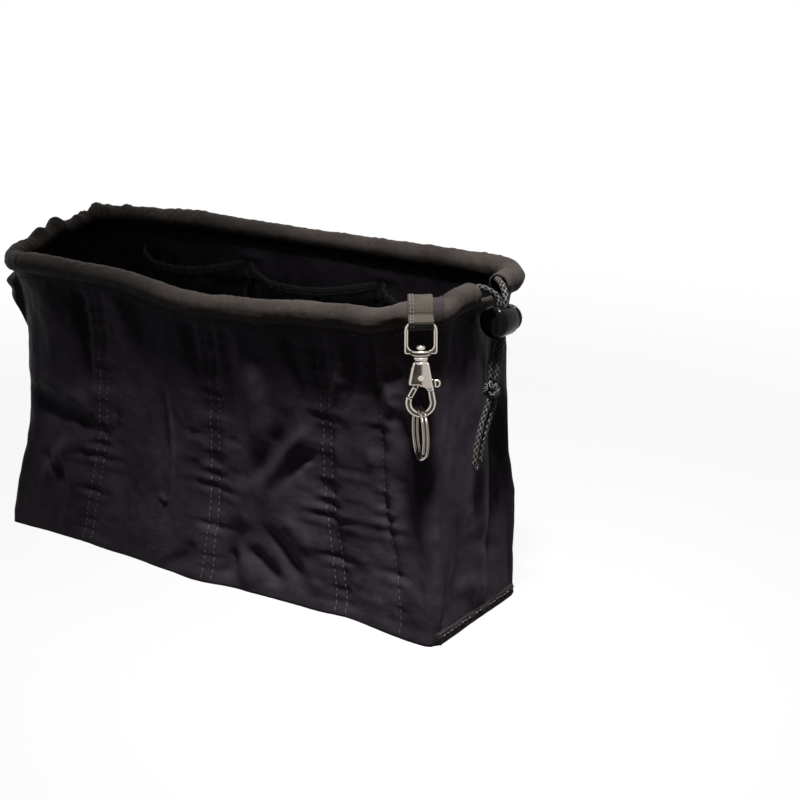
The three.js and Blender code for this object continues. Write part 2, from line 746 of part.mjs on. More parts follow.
frontNames.forEach((name, k) => {
  const [from, to] = [frontEdges[k] + edgeShare, frontEdges[k + 1] - edgeShare];
  const depth = Math.min(frontPocketDepth, (to - from) * bagLength * narrowPocketShare);
  addPocket(name, 0, from, to, depth, frontPocketDrop);
});
backNames.forEach((name, k) => {
  const [from, to] = [backEdges[k] + edgeShare, backEdges[k + 1] - edgeShare];
  addPocket(name, 2, from, to, backPocketDepth, backPocketDrop);
});
addPocket('left_end', 3, ...endPocketShares, endPocketDepth, endPocketDrop);

// Heights on the snap hook and its ring, from the bar of the hook's eye
const eyeTop = eyeBar / 2;
const eyeFoot = eyeTop - eyeHeight;
const eyeFloor = eyeFoot + eyeBaseHeight;
const neckTop = eyeFoot - clearance;
const hookTop = neckTop - neckHeight;
const socketFoot = neckTop - studSocketDepth;
const rivetZ = hookTop - rivetDrop;
const hookFoot = hookTop - hookHeight;
const bowZ = hookFoot + hookBowRadius;
const wireMiddle = hookFoot + hookWireWidth / 2;
const ringSeat = wireMiddle + Math.max(hookWireWidth, hookWireThickness) / 2 + 2 * clearance;
const ringInner = ringRadius - 2 * ringWire;
const ringZ = ringSeat - ringInner;

// How far the wall at the ring's height stands out past the rim's centre line, towards the ring
function wallReach() {
  const { centre, outward } = rimFrame(stationAtTurn(tabTurn));
  const z = centre.z - tabDrop + ringZ;
  return Math.max(...[...sideStations(0), ...sideStations(1)].map((station) => {
    const spot = wallSpot(station, z, 0);
    return (spot.x - centre.x) * outward.x + (spot.y - centre.y) * outward.y;
  }));
}

// Webbing tab: over the casing, down the outside, round the hook's bar and back up.
// The bar hangs close to the casing, but far enough out for the ring to clear the wall.
const stripInner = casingRadius + clearance;
const stripMiddle = stripInner + tabThickness / 2;
const barNearest = stripInner + tabThickness + tabLoopRadius;
const barPush = Math.max(wallReach() + ringRadius + clearance - barNearest, 0);
const barAcross = barNearest + barPush;
const loopMiddle = tabLoopRadius + tabThickness / 2;
const overlapRadius = stripMiddle + tabThickness + clearance;

function arcPoints(centre, radius, from, to, steps) {
  return Array.from({ length: steps + 1 }, (_, k) => {
    const angle = lerp(from, to, k / steps);
    return centre.clone().addScaledVector(normalOf(angle), radius);
  });
}

// Polygon of even thickness along a line of points
function stripAlong(line, thickness) {
  const side = (sign) => line.map((p, k) => {
    const next = line[Math.min(k + 1, line.length - 1)];
    const along = next.clone().sub(line[Math.max(k - 1, 0)]).normalize().multiplyScalar(sign);
    return new THREE.Vector2(p.x - along.y * thickness / 2, p.y + along.x * thickness / 2);
  });
  const polygon = [...side(1), ...side(-1).reverse()];
  return THREE.ShapeUtils.isClockWise(polygon) ? polygon.reverse() : polygon;
}

function tabLine() {
  const middle = new THREE.Vector2(0, 0);
  const bar = new THREE.Vector2(barAcross, -tabDrop);
  return [
    ...arcPoints(middle, stripMiddle, ...tabAngles, casingArcSteps),
    ...arcPoints(bar, loopMiddle, 180, 360, loopArcSteps),
    new THREE.Vector2(bar.x + loopMiddle, bar.y + tabReturn + barPush),
    ...arcPoints(middle, overlapRadius, ...overlapAngles, overlapArcSteps),
  ];
}

// Tape swept along the rim near the tab, of the same width all round the casing. With flatness 1 it
// stays straight outside the casing.
function sweepOnRim(profile, from, to, steps, flatness) {
  const mid = rimFrame(stationAtTurn(tabTurn));
  const tangent = new THREE.Vector3(-mid.outward.y, mid.outward.x, 0);
  const rings = [];
  for (let k = 0; k <= steps; k++) {
    const distance = lerp(from, to, k / steps);
    rings.push(profile.map((p) => {
      const turned = tabTurn + THREE.MathUtils.radToDeg(distance / (frontRightRimRadius + p.x));
      const curved = rimFrame(stationAtTurn(turned));
      const straight = framePoint(mid, p.x, p.y).addScaledVector(tangent, distance);
      return framePoint(curved, p.x, p.y).lerp(straight, flatness * smooth(p.x / casingRadius));
    }));
  }
  return loft(rings, profile);
}

// Station in the front right corner where the wall has turned this far from the front
function stationAtTurn(degrees) {
  return 1 + (degrees < 45 ? longCornerShare : endCornerShare) * (degrees / 45 - 1);
}

const tabEdge = tabWidth / 2;
const tabProfile = stripAlong(tabLine(), tabThickness);
addPart('clip_tab', sweepOnRim(tabProfile, -tabEdge, tabEdge, tabSteps, 1), webbing);

// Bar tack band that closes the casing beside the tab
function casingBand() {
  const middle = new THREE.Vector2(0, 0);
  const line = arcPoints(middle, stripInner + bandThickness / 2, ...bandAngles, bandArcSteps);
  const start = tabEdge + clearance;
  return sweepOnRim(stripAlong(line, bandThickness), start, start + bandWidth, bandSteps, 0);
}

addPart('casing_band', casingBand(), casingNylon);

// Snap hook: its own frame has its origin on the eye's bar, X across and -Y facing out.
const clip = new THREE.Group();
const tabFrame = rimFrame(stationAtTurn(tabTurn));
clip.position.copy(framePoint(tabFrame, barAcross, -tabDrop));
clip.rotation.z = radians(tabTurn);
group.add(clip);

function roundedBox(left, right, low, high, lowRadius, highRadius) {
  const shape = new THREE.Shape();
  shape.moveTo(left + lowRadius, low);
  shape.lineTo(right - lowRadius, low);
  shape.absarc(right - lowRadius, low + lowRadius, lowRadius, -Math.PI / 2, 0);
  shape.absarc(right - highRadius, high - highRadius, highRadius, 0, Math.PI / 2);
  shape.absarc(left + highRadius, high - highRadius, highRadius, Math.PI / 2, Math.PI);
  shape.absarc(left + lowRadius, low + lowRadius, lowRadius, Math.PI, 1.5 * Math.PI);
  return shape;
}

// Flat plate with its outline in X and Z, centred on Y
function plate(shape, thickness, chamfer = 0, curveSegments = 4) {
  const geometry = new THREE.ExtrudeGeometry(shape, {
    depth: thickness - 2 * chamfer, curveSegments, bevelEnabled: chamfer > 0,
    bevelThickness: chamfer, bevelSize: chamfer, bevelOffset: -chamfer, bevelSegments: 1,
  });
  return geometry.translate(0, 0, chamfer - thickness / 2).rotateX(Math.PI / 2);
}

function boxBetween(low, high) {
  const size = high.map((value, axis) => value - low[axis]);
  const centre = high.map((value, axis) => (value + low[axis]) / 2);
  return solidOf(new THREE.BoxGeometry(...size).translate(...centre));
}

// Round bar along Z
function uprightCylinder(radius, low, high, sides) {
  const geometry = new THREE.CylinderGeometry(radius, radius, high - low, sides);
  return geometry.rotateX(Math.PI / 2).translate(0, 0, (high + low) / 2);
}

// Round bar along Y, centred on the plate it goes through
function crossCylinder(radius, length, z, sides) {
  return new THREE.CylinderGeometry(radius, radius, length, sides).translate(0, 0, z);
}

const boreSides = 16;
const farOut = bagLength;
const boreRadius = studRadius + clearance;

function eyeFrame() {
  const half = eyeWidth / 2;
  const inner = half - eyeSideWall;
  const shape = roundedBox(-half, half, eyeFoot, eyeTop, eyeFootRadius, eyeTopRadius);
  const innerTop = eyeTopRadius - eyeSideWall;
  shape.holes.push(roundedBox(-inner, inner, eyeFloor, -eyeTop, eyeFootRadius / 2, innerTop));
  const boss = solidOf(uprightCylinder(bossRadius, eyeFoot, eyeFloor, boreSides));
  const bore = solidOf(uprightCylinder(boreRadius, eyeFoot - clearance, eyeFloor + clearance, boreSides));
  return geometryOf(solidOf(plate(shape, eyeBar)).add(boss).subtract(bore));
}

addPart('clip_eye', eyeFrame(), nickel, clip);

function swivelStud() {
  const headFoot = eyeFloor + clearance;
  const headTop = headFoot + studHeadHeight;
  return new THREE.LatheGeometry([
    new THREE.Vector2(0, socketFoot + clearance), new THREE.Vector2(studRadius, socketFoot + clearance),
    new THREE.Vector2(studRadius, headFoot), new THREE.Vector2(studHeadRadius, headFoot),
    new THREE.Vector2(studHeadRadius, (headFoot + headTop) / 2), new THREE.Vector2(studRadius, headTop),
    new THREE.Vector2(0, headTop),
  ], boreSides).rotateX(Math.PI / 2);
}

addPart('swivel_stud', swivelStud(), nickel, clip);

// Outline that runs straight down from a flat top and turns tangentially round a circle
function dropOutline(Outline, halfWidth, top, radius, centreZ) {
  const reach = Math.hypot(halfWidth, top - centreZ);
  const angle = Math.atan2(top - centreZ, halfWidth) - Math.acos(radius / reach);
  const outline = new Outline();
  outline.absarc(0, centreZ, radius, Math.PI - angle, angle, false);
  outline.lineTo(halfWidth, top);
  outline.lineTo(-halfWidth, top);
  return outline;
}

function hookBody() {
  const shape = dropOutline(THREE.Shape, hookTopHalfWidth, hookTop, hookBowRadius, bowZ);
  const apex = rivetZ - openingApexDrop;
  const innerRadius = hookBowRadius - hookWireWidth;
  shape.holes.push(dropOutline(THREE.Path, openingApexHalfWidth, apex, innerRadius, bowZ));
  const wire = solidOf(plate(shape, hookWireThickness, hookChamfer, curveSides));
  const side = housingThickness;
  const above = boxBetween([-farOut, -side, hookTop - housingHeight], [farOut, side, hookTop]);
  const housing = solidOf(plate(shape, housingThickness, hookChamfer, curveSides)).intersect(above);
  const neck = solidOf(uprightCylinder(neckRadius, hookTop - clearance, neckTop, boreSides));
  const socket = solidOf(uprightCylinder(boreRadius, socketFoot, neckTop + clearance, boreSides));
  const slotHalf = slotThickness / 2;
  const slotTop = rivetZ + slotRise;
  const slot = boxBetween([-farOut, -slotHalf, rivetZ - slotDrop], [farOut, slotHalf, slotTop]);
  const rivetBore = solidOf(crossCylinder(rivetRadius + clearance, farOut, rivetZ, boreSides));
  const windowTop = rivetZ - gateWindowTop;
  const swept = solidOf(crossCylinder(gateReach + clearance, farOut, rivetZ, 4 * boreSides));
  const window = boxBetween([-farOut, -farOut, rivetZ - farOut], [-gateWindowEdge, farOut, windowTop]);
  return geometryOf(wire.add(housing).add(neck).subtract(socket).subtract(slot)
    .subtract(rivetBore).subtract(window.intersect(swept)));
}

addPart('hook_body', hookBody(), nickel, clip);

// Rocking gate: a hub on the rivet, an arm that closes the hook's mouth and a thumb lever
function barFrom(start, end, width, thickness) {
  const shape = new THREE.Shape();
  shape.moveTo(start, -width / 2);
  shape.lineTo(end, -width / 2);
  shape.lineTo(end, width / 2);
  shape.lineTo(start, width / 2);
  return plate(shape, thickness);
}

function hookGate() {
  const hub = solidOf(crossCylinder(gateHubRadius, gateThickness, 0, boreSides));
  const turn = -radians(gateAngle);
  const armEnd = gateReach + gateWidth;
  const arm = solidOf(barFrom(0, armEnd, gateWidth, gateThickness).rotateY(turn));
  const tip = solidOf(barFrom(gateTipStart, armEnd, gateWidth, gateTipThickness).rotateY(turn));
  const reach = solidOf(crossCylinder(gateReach, gateTipThickness, 0, 4 * boreSides));
  const neckHalf = gateThickness / 2;
  const leverMiddle = -leverTop - leverHeight / 2;
  const neck = boxBetween([0, -neckHalf, leverMiddle - leverNeckWidth / 2],
    [leverReach - leverPadLength / 2, neckHalf, leverMiddle + leverNeckWidth / 2]);
  const padHalf = leverPadThickness / 2;
  const pad = boxBetween([leverReach - leverPadLength, -padHalf, -leverTop - leverHeight],
    [leverReach, padHalf, -leverTop]);
  const shoulder = boxBetween([shoulderPlace - shoulderWidth / 2, -neckHalf, leverMiddle],
    [shoulderPlace + shoulderWidth / 2, neckHalf, shoulderRise]);
  const bore = solidOf(crossCylinder(rivetRadius + clearance, farOut, 0, boreSides));
  const rocker = hub.add(arm.add(tip).intersect(reach)).add(neck).add(pad).add(shoulder).subtract(bore);
  return geometryOf(rocker).translate(0, 0, rivetZ);
}

addPart('hook_gate', hookGate(), nickel, clip);
addPart('gate_rivet', crossCylinder(rivetRadius, housingThickness, rivetZ, boreSides), nickel, clip);

// Wire wound round Z with even turns, from z = 0 up to the height, ends included
class Helix extends THREE.Curve {
  constructor(radius, height, turns) {
    super();
    Object.assign(this, { radius, height, turns });
  }

  getPoint(share, target = new THREE.Vector3()) {
    const angle = 2 * Math.PI * this.turns * share;
    return target.set(this.radius * Math.cos(angle), this.radius * Math.sin(angle), this.height * share);
  }
}

// Prints the least gap between the turns of a wound wire, measured on points half a turn or more apart
function printTurnGap(name, curve, turns, wire) {
  const count = ringSteps * turns;
  const points = Array.from({ length: count + 1 }, (_, k) => curve.getPoint(k / count));
  let least = Infinity;
  points.forEach((p, k) => points.slice(k + ringSteps / 2).forEach((q) => {
    least = Math.min(least, p.distanceTo(q));
  }));
  console.log(`${name}: least gap between turns ${(least - 2 * wire).toFixed(2)} mm`);
}

const springSteps = 8;
const springSides = 5;

function coilSpring(name, radius, wire, turns, length) {
  const curve = new Helix(radius, length - 2 * wire, turns);
  printTurnGap(name, curve, turns, wire);
  const section = new THREE.Shape(circle(wire, springSides));
  const steps = springSteps * turns;
  return new THREE.ExtrudeGeometry(section, { steps, bevelEnabled: false, extrudePath: curve })
    .translate(0, 0, wire);
}

const gateSpringLow = shoulderRise + clearance;
const gateSpringRoom = slotRise - shoulderRise - 2 * clearance;
const gateSpring = coilSpring(
  'gate_spring', gateSpringRadius, gateSpringWire, gateSpringTurns, gateSpringRoom);
gateSpring.translate(shoulderPlace, 0, rivetZ + gateSpringLow);
addPart('gate_spring', gateSpring, springSteel, clip);

// Split ring: two flat turns of one wire, which steps across to the next turn opposite its ends
class SplitRing extends THREE.Curve {
  getPoint(share, target = new THREE.Vector3()) {
    const open = radians(ringEndAngle);
    const angle = lerp(open, 4 * Math.PI - open, share);
    const across = (2 * wrapShare(angle) - 1) * (ringWire + ringTurnGap / 2);
    const radius = ringRadius - ringWire;
    return target.set(across, radius * Math.sin(angle), radius * Math.cos(angle));
  }
}

function wrapShare(angle) {
  return smooth((angle - 2 * Math.PI) / (2 * radians(ringStepAngle)) + 0.5);
}

function keyRing() {
  const curve = new SplitRing();
  printTurnGap('key_ring', curve, 2, ringWire);
  const section = new THREE.Shape(circle(ringWire, wireSides));
  const settings = { steps: ringSteps, bevelEnabled: false, extrudePath: curve };
  return new THREE.ExtrudeGeometry(section, settings).rotateX(radians(ringOpenTurn));
}

const keyRingMesh = addPart('key_ring', keyRing(), nickel, clip);
keyRingMesh.position.set(0, 0, ringZ);
keyRingMesh.rotation.z = radians(ringTurn);

// Cord lock: its own frame has Y along the barrel, and the strands run through it along Z.
const lock = new THREE.Group();
lock.position.addVectors(rimEnd, lockOffset);
lock.rotation.set(radians(-lockLeanBack), radians(lockLeanSide), 0);
group.add(lock);

const cordRoom = cordRadius + clearance;
const strandRoom = strandSpacing / 2 + cordRoom + clearance / 2;
const barrelSides = 24;

function crossSlot(low, high) {
  return boxBetween([-strandRoom, low, -farOut], [strandRoom, high, farOut]);
}

function lockBarrel() {
  const r = barrelRadius;
  const edge = barrelRounding;
  const tube = solidOf(new THREE.LatheGeometry([
    new THREE.Vector2(0, -barrelBack), new THREE.Vector2(r - 2 * edge, -barrelBack),
    new THREE.Vector2(r, edge - barrelBack), new THREE.Vector2(r, barrelMouth - edge / 2),
    new THREE.Vector2(r - edge / 2, barrelMouth), new THREE.Vector2(barrelBore, barrelMouth),
    new THREE.Vector2(barrelBore, barrelWall - barrelBack), new THREE.Vector2(0, barrelWall - barrelBack),
  ], barrelSides));
  return geometryOf(tube.subtract(crossSlot(-cordRoom - 3 * clearance, cordRoom)));
}

function lockPlunger() {
  const buttonLow = barrelMouth + plungerTravel + clearance;
  const buttonHigh = buttonLow + buttonThickness;
  const stem = solidOf(new THREE.LatheGeometry([
    new THREE.Vector2(0, -plungerTail), new THREE.Vector2(plungerRadius, -plungerTail),
    new THREE.Vector2(plungerRadius, buttonLow), new THREE.Vector2(buttonRadius, buttonLow),
    new THREE.Vector2(buttonRadius, buttonHigh - barrelRounding),
    new THREE.Vector2(buttonRadius - barrelRounding, buttonHigh), new THREE.Vector2(0, buttonHigh),
  ], barrelSides));
  return geometryOf(stem.subtract(crossSlot(-cordRoom, cordRoom + plungerTravel)));
}

const lockSpringRoom = barrelBack - barrelWall - plungerTail - 2 * clearance;
const lockSpringFoot = barrelWall + clearance - barrelBack;
const lockSpring = coilSpring(
  'lock_spring', lockSpringRadius, lockSpringWire, lockSpringTurns, lockSpringRoom);
lockSpring.rotateX(-Math.PI / 2).translate(0, lockSpringFoot, 0);
addPart('lock_barrel', lockBarrel(), blackPlastic, lock);
addPart('lock_plunger', lockPlunger(), blackPlastic, lock);
addPart('lock_spring', lockSpring, springSteel, lock);

export default group;
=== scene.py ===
"""Looks of the purse organizer insert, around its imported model.

Lengths are in millimetres until a mesh is made. X runs along the bag, the front faces -Y and Z is up.
A station is a place round the bag: its whole part is the side, from 0 for the front over 1 for the
right end and 2 for the back to 3 for the left end, and the rest is the share along that side. A level
runs from 0 at the floor to 1 at the rim.
"""
import math

import bmesh
import bpy
import numpy as np
from mathutils import Matrix, Vector


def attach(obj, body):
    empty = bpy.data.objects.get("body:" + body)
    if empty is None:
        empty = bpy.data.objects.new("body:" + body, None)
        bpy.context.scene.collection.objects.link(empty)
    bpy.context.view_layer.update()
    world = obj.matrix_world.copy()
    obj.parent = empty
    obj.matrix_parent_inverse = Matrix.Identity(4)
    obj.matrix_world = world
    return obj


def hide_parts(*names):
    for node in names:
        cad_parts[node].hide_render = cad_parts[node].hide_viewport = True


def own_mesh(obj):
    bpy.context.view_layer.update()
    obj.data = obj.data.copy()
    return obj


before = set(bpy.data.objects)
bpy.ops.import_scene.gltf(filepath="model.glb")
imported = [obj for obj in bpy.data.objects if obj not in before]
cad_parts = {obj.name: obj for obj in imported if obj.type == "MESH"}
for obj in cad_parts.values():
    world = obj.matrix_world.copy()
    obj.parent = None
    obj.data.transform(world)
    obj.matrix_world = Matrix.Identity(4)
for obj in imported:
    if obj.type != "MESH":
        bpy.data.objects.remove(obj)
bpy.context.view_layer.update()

MM = 0.001

# The bag's sizes, as the model has them
BAG_LENGTH = 287.0
BAG_DEPTH = 76.0
RIM_HEIGHT = 165.5
RIM_DIP = 18.0
RIM_DEPTH = 84.0
RIM_INSET_RIGHT = 1.5
RIM_INSET_LEFT = 4.3
WALL = 1.4
CLEARANCE = 0.3
LEFT_WAIST = 8.0
RIGHT_BULGE = 3.3
DEPTH_WAIST = 4.0
BAY_BULGE = 2.4
HEM_WAVE = 5.0
FLOOR_CORNER = 6.0
LEFT_RIM_CORNER = 32.0
FRONT_RIGHT_CORNER = 20.0
REAR_RIGHT_CORNER = 18.0
LEFT_FOLD = 8.0
CASING_RADIUS = 6.0
CASING_BORE = 4.6
CORD_RADIUS = 1.5
CORD_GAP = (-8.0, 16.0)
BINDING_HEIGHT = 6.0
POCKET_THICKNESS = 1.0
ELASTIC_HEIGHT = 5.0
ELASTIC_THICKNESS = 2.0
BACK_POCKET = {"drop": 19.5, "depth": 19.0}
FRONT_POCKET = {"drop": 33.0, "depth": 13.0}
END_POCKET = {"drop": 27.5, "depth": 15.0}
TAB_TURN = 36.0
TAB_WIDTH = 11.2
TAB_THICKNESS = 1.2
TAB_LOOP = 2.05
TAB_DROP = 1.2
TAB_RETURN = 1.2

LONG_CORNER_SHARE = 0.1
END_CORNER_SHARE = 0.26
WAIST_SHARE = 0.45
HEM_SHARE = 0.4
FOLD_PLACE_SHARES = (0.8, 0.87)
FOLD_WIDTH_SHARES = (0.18, 0.09)
FRONT_STITCH_SHARES = [0.255, 0.512, 0.748, 0.857]
BACK_STITCH_SHARES = [0.384, 0.68]
POCKET_START_SHARE = 0.12
POCKET_END_SHARE = 0.915
END_POCKET_SHARES = (0.275, 0.725)
RIM_DROP_SHARES = [
    (0, 0.78), (0.12, 0.61), (0.3, 0.63), (0.5, 0.95), (0.6, 0.84), (0.75, 0.605), (0.85, 0.51),
    (0.945, 0.2165), (1.12, 0.2165), (1.27, 0.03), (1.45, 0), (1.7, 0.036),
    (2.2, -0.05), (2.72, -0.05), (2.85, 0.035), (3, 0.13), (3.2, 0.4), (3.35, 0.38), (3.5, 0.52),
    (3.75, 0.735), (4, 0.78),
]
FRONT_HEM_SHARES = [
    (0, 0), (0.1, 0.3), (0.2, 0.05), (0.33, 0.3), (0.5, 1), (0.58, 0.1), (0.7, -0.2),
    (0.77, -0.6), (0.87, 0.3), (0.95, 0.2), (1, 0),
]


def smooth(share):
    held = np.clip(share, 0, 1)
    return held * held * (3 - 2 * held)


def lerp(low, high, share):
    return low + (high - low) * share


def table_at(rows, place):
    """Value of a table of (place, value) rows, eased between the rows."""
    places, values = np.array(rows, float).T
    after = np.clip(np.searchsorted(places, place, side="left"), 1, len(places) - 1)
    share = (place - places[after - 1]) / (places[after] - places[after - 1])
    return lerp(values[after - 1], values[after], smooth(share))


def cell_value(cell, seed):
    """A fixed number from -1 to 1 for each whole-numbered cell."""
    x, y, z = (cell[..., k].astype(np.int64).astype(np.uint64) for k in range(3))
    mixed = x * np.uint64(73856093) ^ y * np.uint64(19349663) ^ z * np.uint64(83492791)
    mixed = (mixed + np.uint64(seed) * np.uint64(2654435761)) & np.uint64(0xFFFFFFFF)
    for shift in (15, 13, 16):
        mixed = ((mixed ^ (mixed >> np.uint64(shift))) * np.uint64(2246822519)) & np.uint64(0xFFFFFFFF)
    return (mixed >> np.uint64(8)).astype(float) / 2 ** 23 - 1


def noise(points, lengths, seed):
    """Smooth noise from about -1 to 1, with one wave length for each axis."""
    place = np.asarray(points, float) / np.asarray(lengths, float)
    low = np.floor(place)
    share = smooth(place - low)
    total = 0.0
    for corner in range(8):
        step = np.array([corner & 1, corner >> 1 & 1, corner >> 2 & 1], float)
        weight = np.prod(np.where(step > 0, share, 1 - share), axis=-1)
        total = total + weight * cell_value(low + step, seed)
    return total


# Outline of the bag

def outline(level):
    """Corners of the plan at a level from floor to rim: their x, y and radius."""
    swell = np.sin(np.pi * level)
    half = BAG_LENGTH / 2
    depth = BAG_DEPTH / 2 - DEPTH_WAIST * swell + (RIM_DEPTH - BAG_DEPTH) / 2 * level ** 5
    right = half - RIM_INSET_RIGHT * level + RIGHT_BULGE * swell * (1 - level)
    left = half - LEFT_WAIST * smooth(level / WAIST_SHARE) + (LEFT_WAIST - RIM_INSET_LEFT) * level ** 6
    round_left = lerp(FLOOR_CORNER, LEFT_RIM_CORNER, level)
    return (
        np.stack([-left, right, right, -left]),
        np.stack([-depth, -depth, depth, depth]),
        np.stack([
            round_left, lerp(FLOOR_CORNER, FRONT_RIGHT_CORNER, smooth(2 * level)),
            lerp(FLOOR_CORNER, REAR_RIGHT_CORNER, level), round_left,
        ]),
    )


def split_station(station):
    side = np.minimum(np.floor(station), 3).astype(int)
    return side, station - side, np.where(side % 2 == 1, END_CORNER_SHARE, LONG_CORNER_SHARE)


def bay_share(share, seams):
    """How far across its bay, from one row of stitching to the next, a place lies."""
    found = np.zeros(np.shape(share))
    for low, high in zip(seams[:-1], seams[1:]):
        inside = (share >= low) & (share < high)
        found = np.where(inside, (share - low) / (high - low), found)
    return found


FRONT_SEAMS = [LONG_CORNER_SHARE, *FRONT_STITCH_SHARES, 1 - LONG_CORNER_SHARE]
BACK_SEAMS = [LONG_CORNER_SHARE, *sorted(1 - at for at in BACK_STITCH_SHARES), 1 - LONG_CORNER_SHARE]


def bulge(station, level):
    side, share, _ = split_station(station)
    swell = np.sin(np.pi * level)
    away = ((share - FOLD_PLACE_SHARES[0]) / FOLD_WIDTH_SHARES[0]) ** 2
    away = away + ((level - FOLD_PLACE_SHARES[1]) / FOLD_WIDTH_SHARES[1]) ** 2
    fold = LEFT_FOLD * np.exp(-away)
    front = BAY_BULGE * swell * np.sin(np.pi * bay_share(share, FRONT_SEAMS))
    hem = HEM_WAVE * table_at(FRONT_HEM_SHARES, share) * (1 - smooth(level / HEM_SHARE))
    back = BAY_BULGE * swell * np.sin(np.pi * bay_share(share, BACK_SEAMS))
    return np.select([side == 0, side == 2, side == 3], [front + hem, back, fold], 0.0)


def plan(station, level):
    """Place and outward normal of the wall's outer face, in plan."""
    station, level = np.broadcast_arrays(np.asarray(station, float), np.asarray(level, float))
    side, share, corner = split_station(station)
    xs, ys, radii = outline(level)
    turn = side * 90.0 - 90.0
    back_turn = 45 * np.maximum(1 - share / corner, 0)
    fore_turn = 45 * np.maximum((share - 1 + corner) / corner, 0)

    def on_corner(index, degrees):
        x, y, radius = (np.take_along_axis(row, index[None] % 4, 0)[0] for row in (xs, ys, radii))
        angle = np.radians(degrees)
        return np.stack([
            x - np.sign(x) * radius + radius * np.cos(angle),
            y - np.sign(y) * radius + radius * np.sin(angle),
        ], -1)

    along = np.clip((share - corner) / (1 - 2 * corner), 0, 1)[..., None]
    place = lerp(on_corner(side, turn - back_turn), on_corner(side + 1, turn + fore_turn), along)
    angle = np.radians(turn - back_turn + fore_turn)
    normal = np.stack([np.cos(angle), np.sin(angle)], -1)
    return place + normal * bulge(station, level)[..., None], normal


def rim_z(station):
    return RIM_HEIGHT - RIM_DIP * table_at(RIM_DROP_SHARES, np.asarray(station, float))


def wall_top(station):
    return rim_z(station) - CASING_RADIUS - CLEARANCE


def station_at(side, low, high, coordinate, value):
    """Station on one side where the rim's plan has a coordinate's value."""
    for _ in range(40):
        middle = (low + high) / 2
        if plan(side + middle, 1.0)[0][coordinate] < value:
            low = middle
        else:
            high = middle
    return side + low


CASING_START = station_at(1, 0.0, 1.0, 1, CORD_GAP[0])
CASING_END = station_at(1, 0.0, 1.0, 1, CORD_GAP[1])

# Folds of the cloth. Each stroke runs between two places on its side, with a width and a height that
# is below zero for a valley. Places are along the side and up: x and z on the front, y and z on the ends.
FRONT_FOLDS = [
    ((-75, 152), (-82, 82), 4.6, -4.2), ((-97, 150), (-104, 88), 11, 2.2),
    ((-119, 76), (-62, 62), 6.5, -3.9), ((-122, 90), (-70, 74), 5.0, 2.0),
    ((-118, 28), (-86, 62), 4.5, 2.6), ((-116, 46), (-98, 33), 4.0, -2.2),
    ((-96, 58), (-92, 22), 3.6, 1.8), ((-82, 56), (-84, 18), 4.0, -1.6),
    ((-20, 98), (-22.6, 37), 1.3, 1.7), ((-22.8, 37), (-30, 39.5), 1.3, 1.3),
    ((-27, 96), (-30, 52), 5.0, -1.2), ((-50, 150), (-38, 100), 6.0, 1.3),
    ((-44, 92), (-52, 30), 7.0, 1.1), ((-57, 84), (-60, 30), 4.5, -1.2),
    ((37, 128), (38, 78), 6.0, 2.2), ((52, 92), (33, 60), 4.6, -2.8),
    ((22, 130), (20, 70), 6.0, -1.4), ((12, 100), (8, 44), 4.0, 1.2),
    ((27, 34), (24, 60), 9.0, 2.4), ((-3, 18), (-22, -2), 5.0, -3.0),
    ((22, 23), (9, -3), 5.0, -3.4), ((30, 24), (50, 8), 5.0, -3.0),
    ((26, 22), (29, -2), 4.0, 1.8), ((8, 16), (-6, -2), 4.0, 1.4),
    ((40, 60), (70, 96), 3.6, 2.2), ((46, 58), (72, 84), 3.2, -2.0),
    ((40, 38), (66, 10), 4.6, -2.4), ((52, 46), (70, 30), 4.6, 1.6),
    ((94, 141), (82, 112), 3.8, 2.2), ((101, 140), (91, 108), 3.2, -1.6),
    ((84, 100), (88, 40), 5.0, 1.4), ((107, 122), (125, 137), 4.2, -3.2),
    ((112, 116), (128, 96), 4.6, -2.6), ((112, 132), (120, 100), 3.0, 1.8),
    ((104, 96), (116, 60), 5.0, 1.6), ((121, 88), (123, 20), 6.0, -2.4),
    ((132, 150), (136, 108), 3.5, 1.2), ((110, 52), (112, 16), 4.5, -1.2),
    ((-130, 150), (-134, 96), 4.0, -1.8), ((-128, 66), (-136, 12), 4.0, 1.4),
    ((60, 146), (66, 104), 4.0, -1.2), ((-5, 150), (2, 96), 5.0, -1.5),
]
RIGHT_FOLDS = [
    ((-2, 152), (2, 118), 4.0, 1.2), ((14, 150), (12, 16), 5.5, -4.2),
    ((-30, 130), (-27, 30), 5.0, -1.6), ((26, 120), (30, 20), 5.0, 1.6),
    ((-14, 60), (-18, 12), 4.5, -1.4), ((-20, 24), (10, 14), 5.0, 1.5),
    ((-6, 46), (20, 30), 4.0, -1.2),
]
BACK_FOLDS = [
    ((-120, 140), (-112, 60), 5.0, -2.2), ((-96, 150), (-90, 84), 6.0, 1.8),
    ((-78, 110), (-60, 60), 5.0, -2.0), ((-52, 60), (-66, 12), 6.0, 1.8),
    ((-20, 148), (-28, 80), 5.0, 1.6), ((-8, 84), (14, 40), 5.0, -2.4),
    ((2, 150), (6, 104), 4.0, -1.4), ((20, 34), (2, 0), 5.0, -2.2),
    ((30, 40), (44, 4), 5.0, 2.0), ((70, 146), (58, 96), 5.0, -2.0),
    ((82, 120), (92, 52), 6.0, 2.0), ((104, 90), (84, 38), 4.5, -2.2),
    ((116, 140), (120, 70), 5.0, 1.6), ((-100, 44), (-118, 8), 5.0, -1.8),
]
LEFT_FOLDS = [
    ((-25, 150), (-26, 134), 5.5, 4.6), ((-25, 126), (-27, 98), 5.0, -3.2),
    ((-26, 128), (-4, 96), 5.0, -3.4), ((-22, 150), (-30, 120), 4.0, 2.0),
    ((10, 150), (14, 60), 6.0, -2.6), ((-6, 92), (-14, 30), 6.0, 2.2),
    ((24, 120), (18, 40), 5.0, 1.8), ((0, 50), (20, 16), 5.0, -2.0),
    ((-24, 70), (-30, 18), 4.5, -1.6),
]
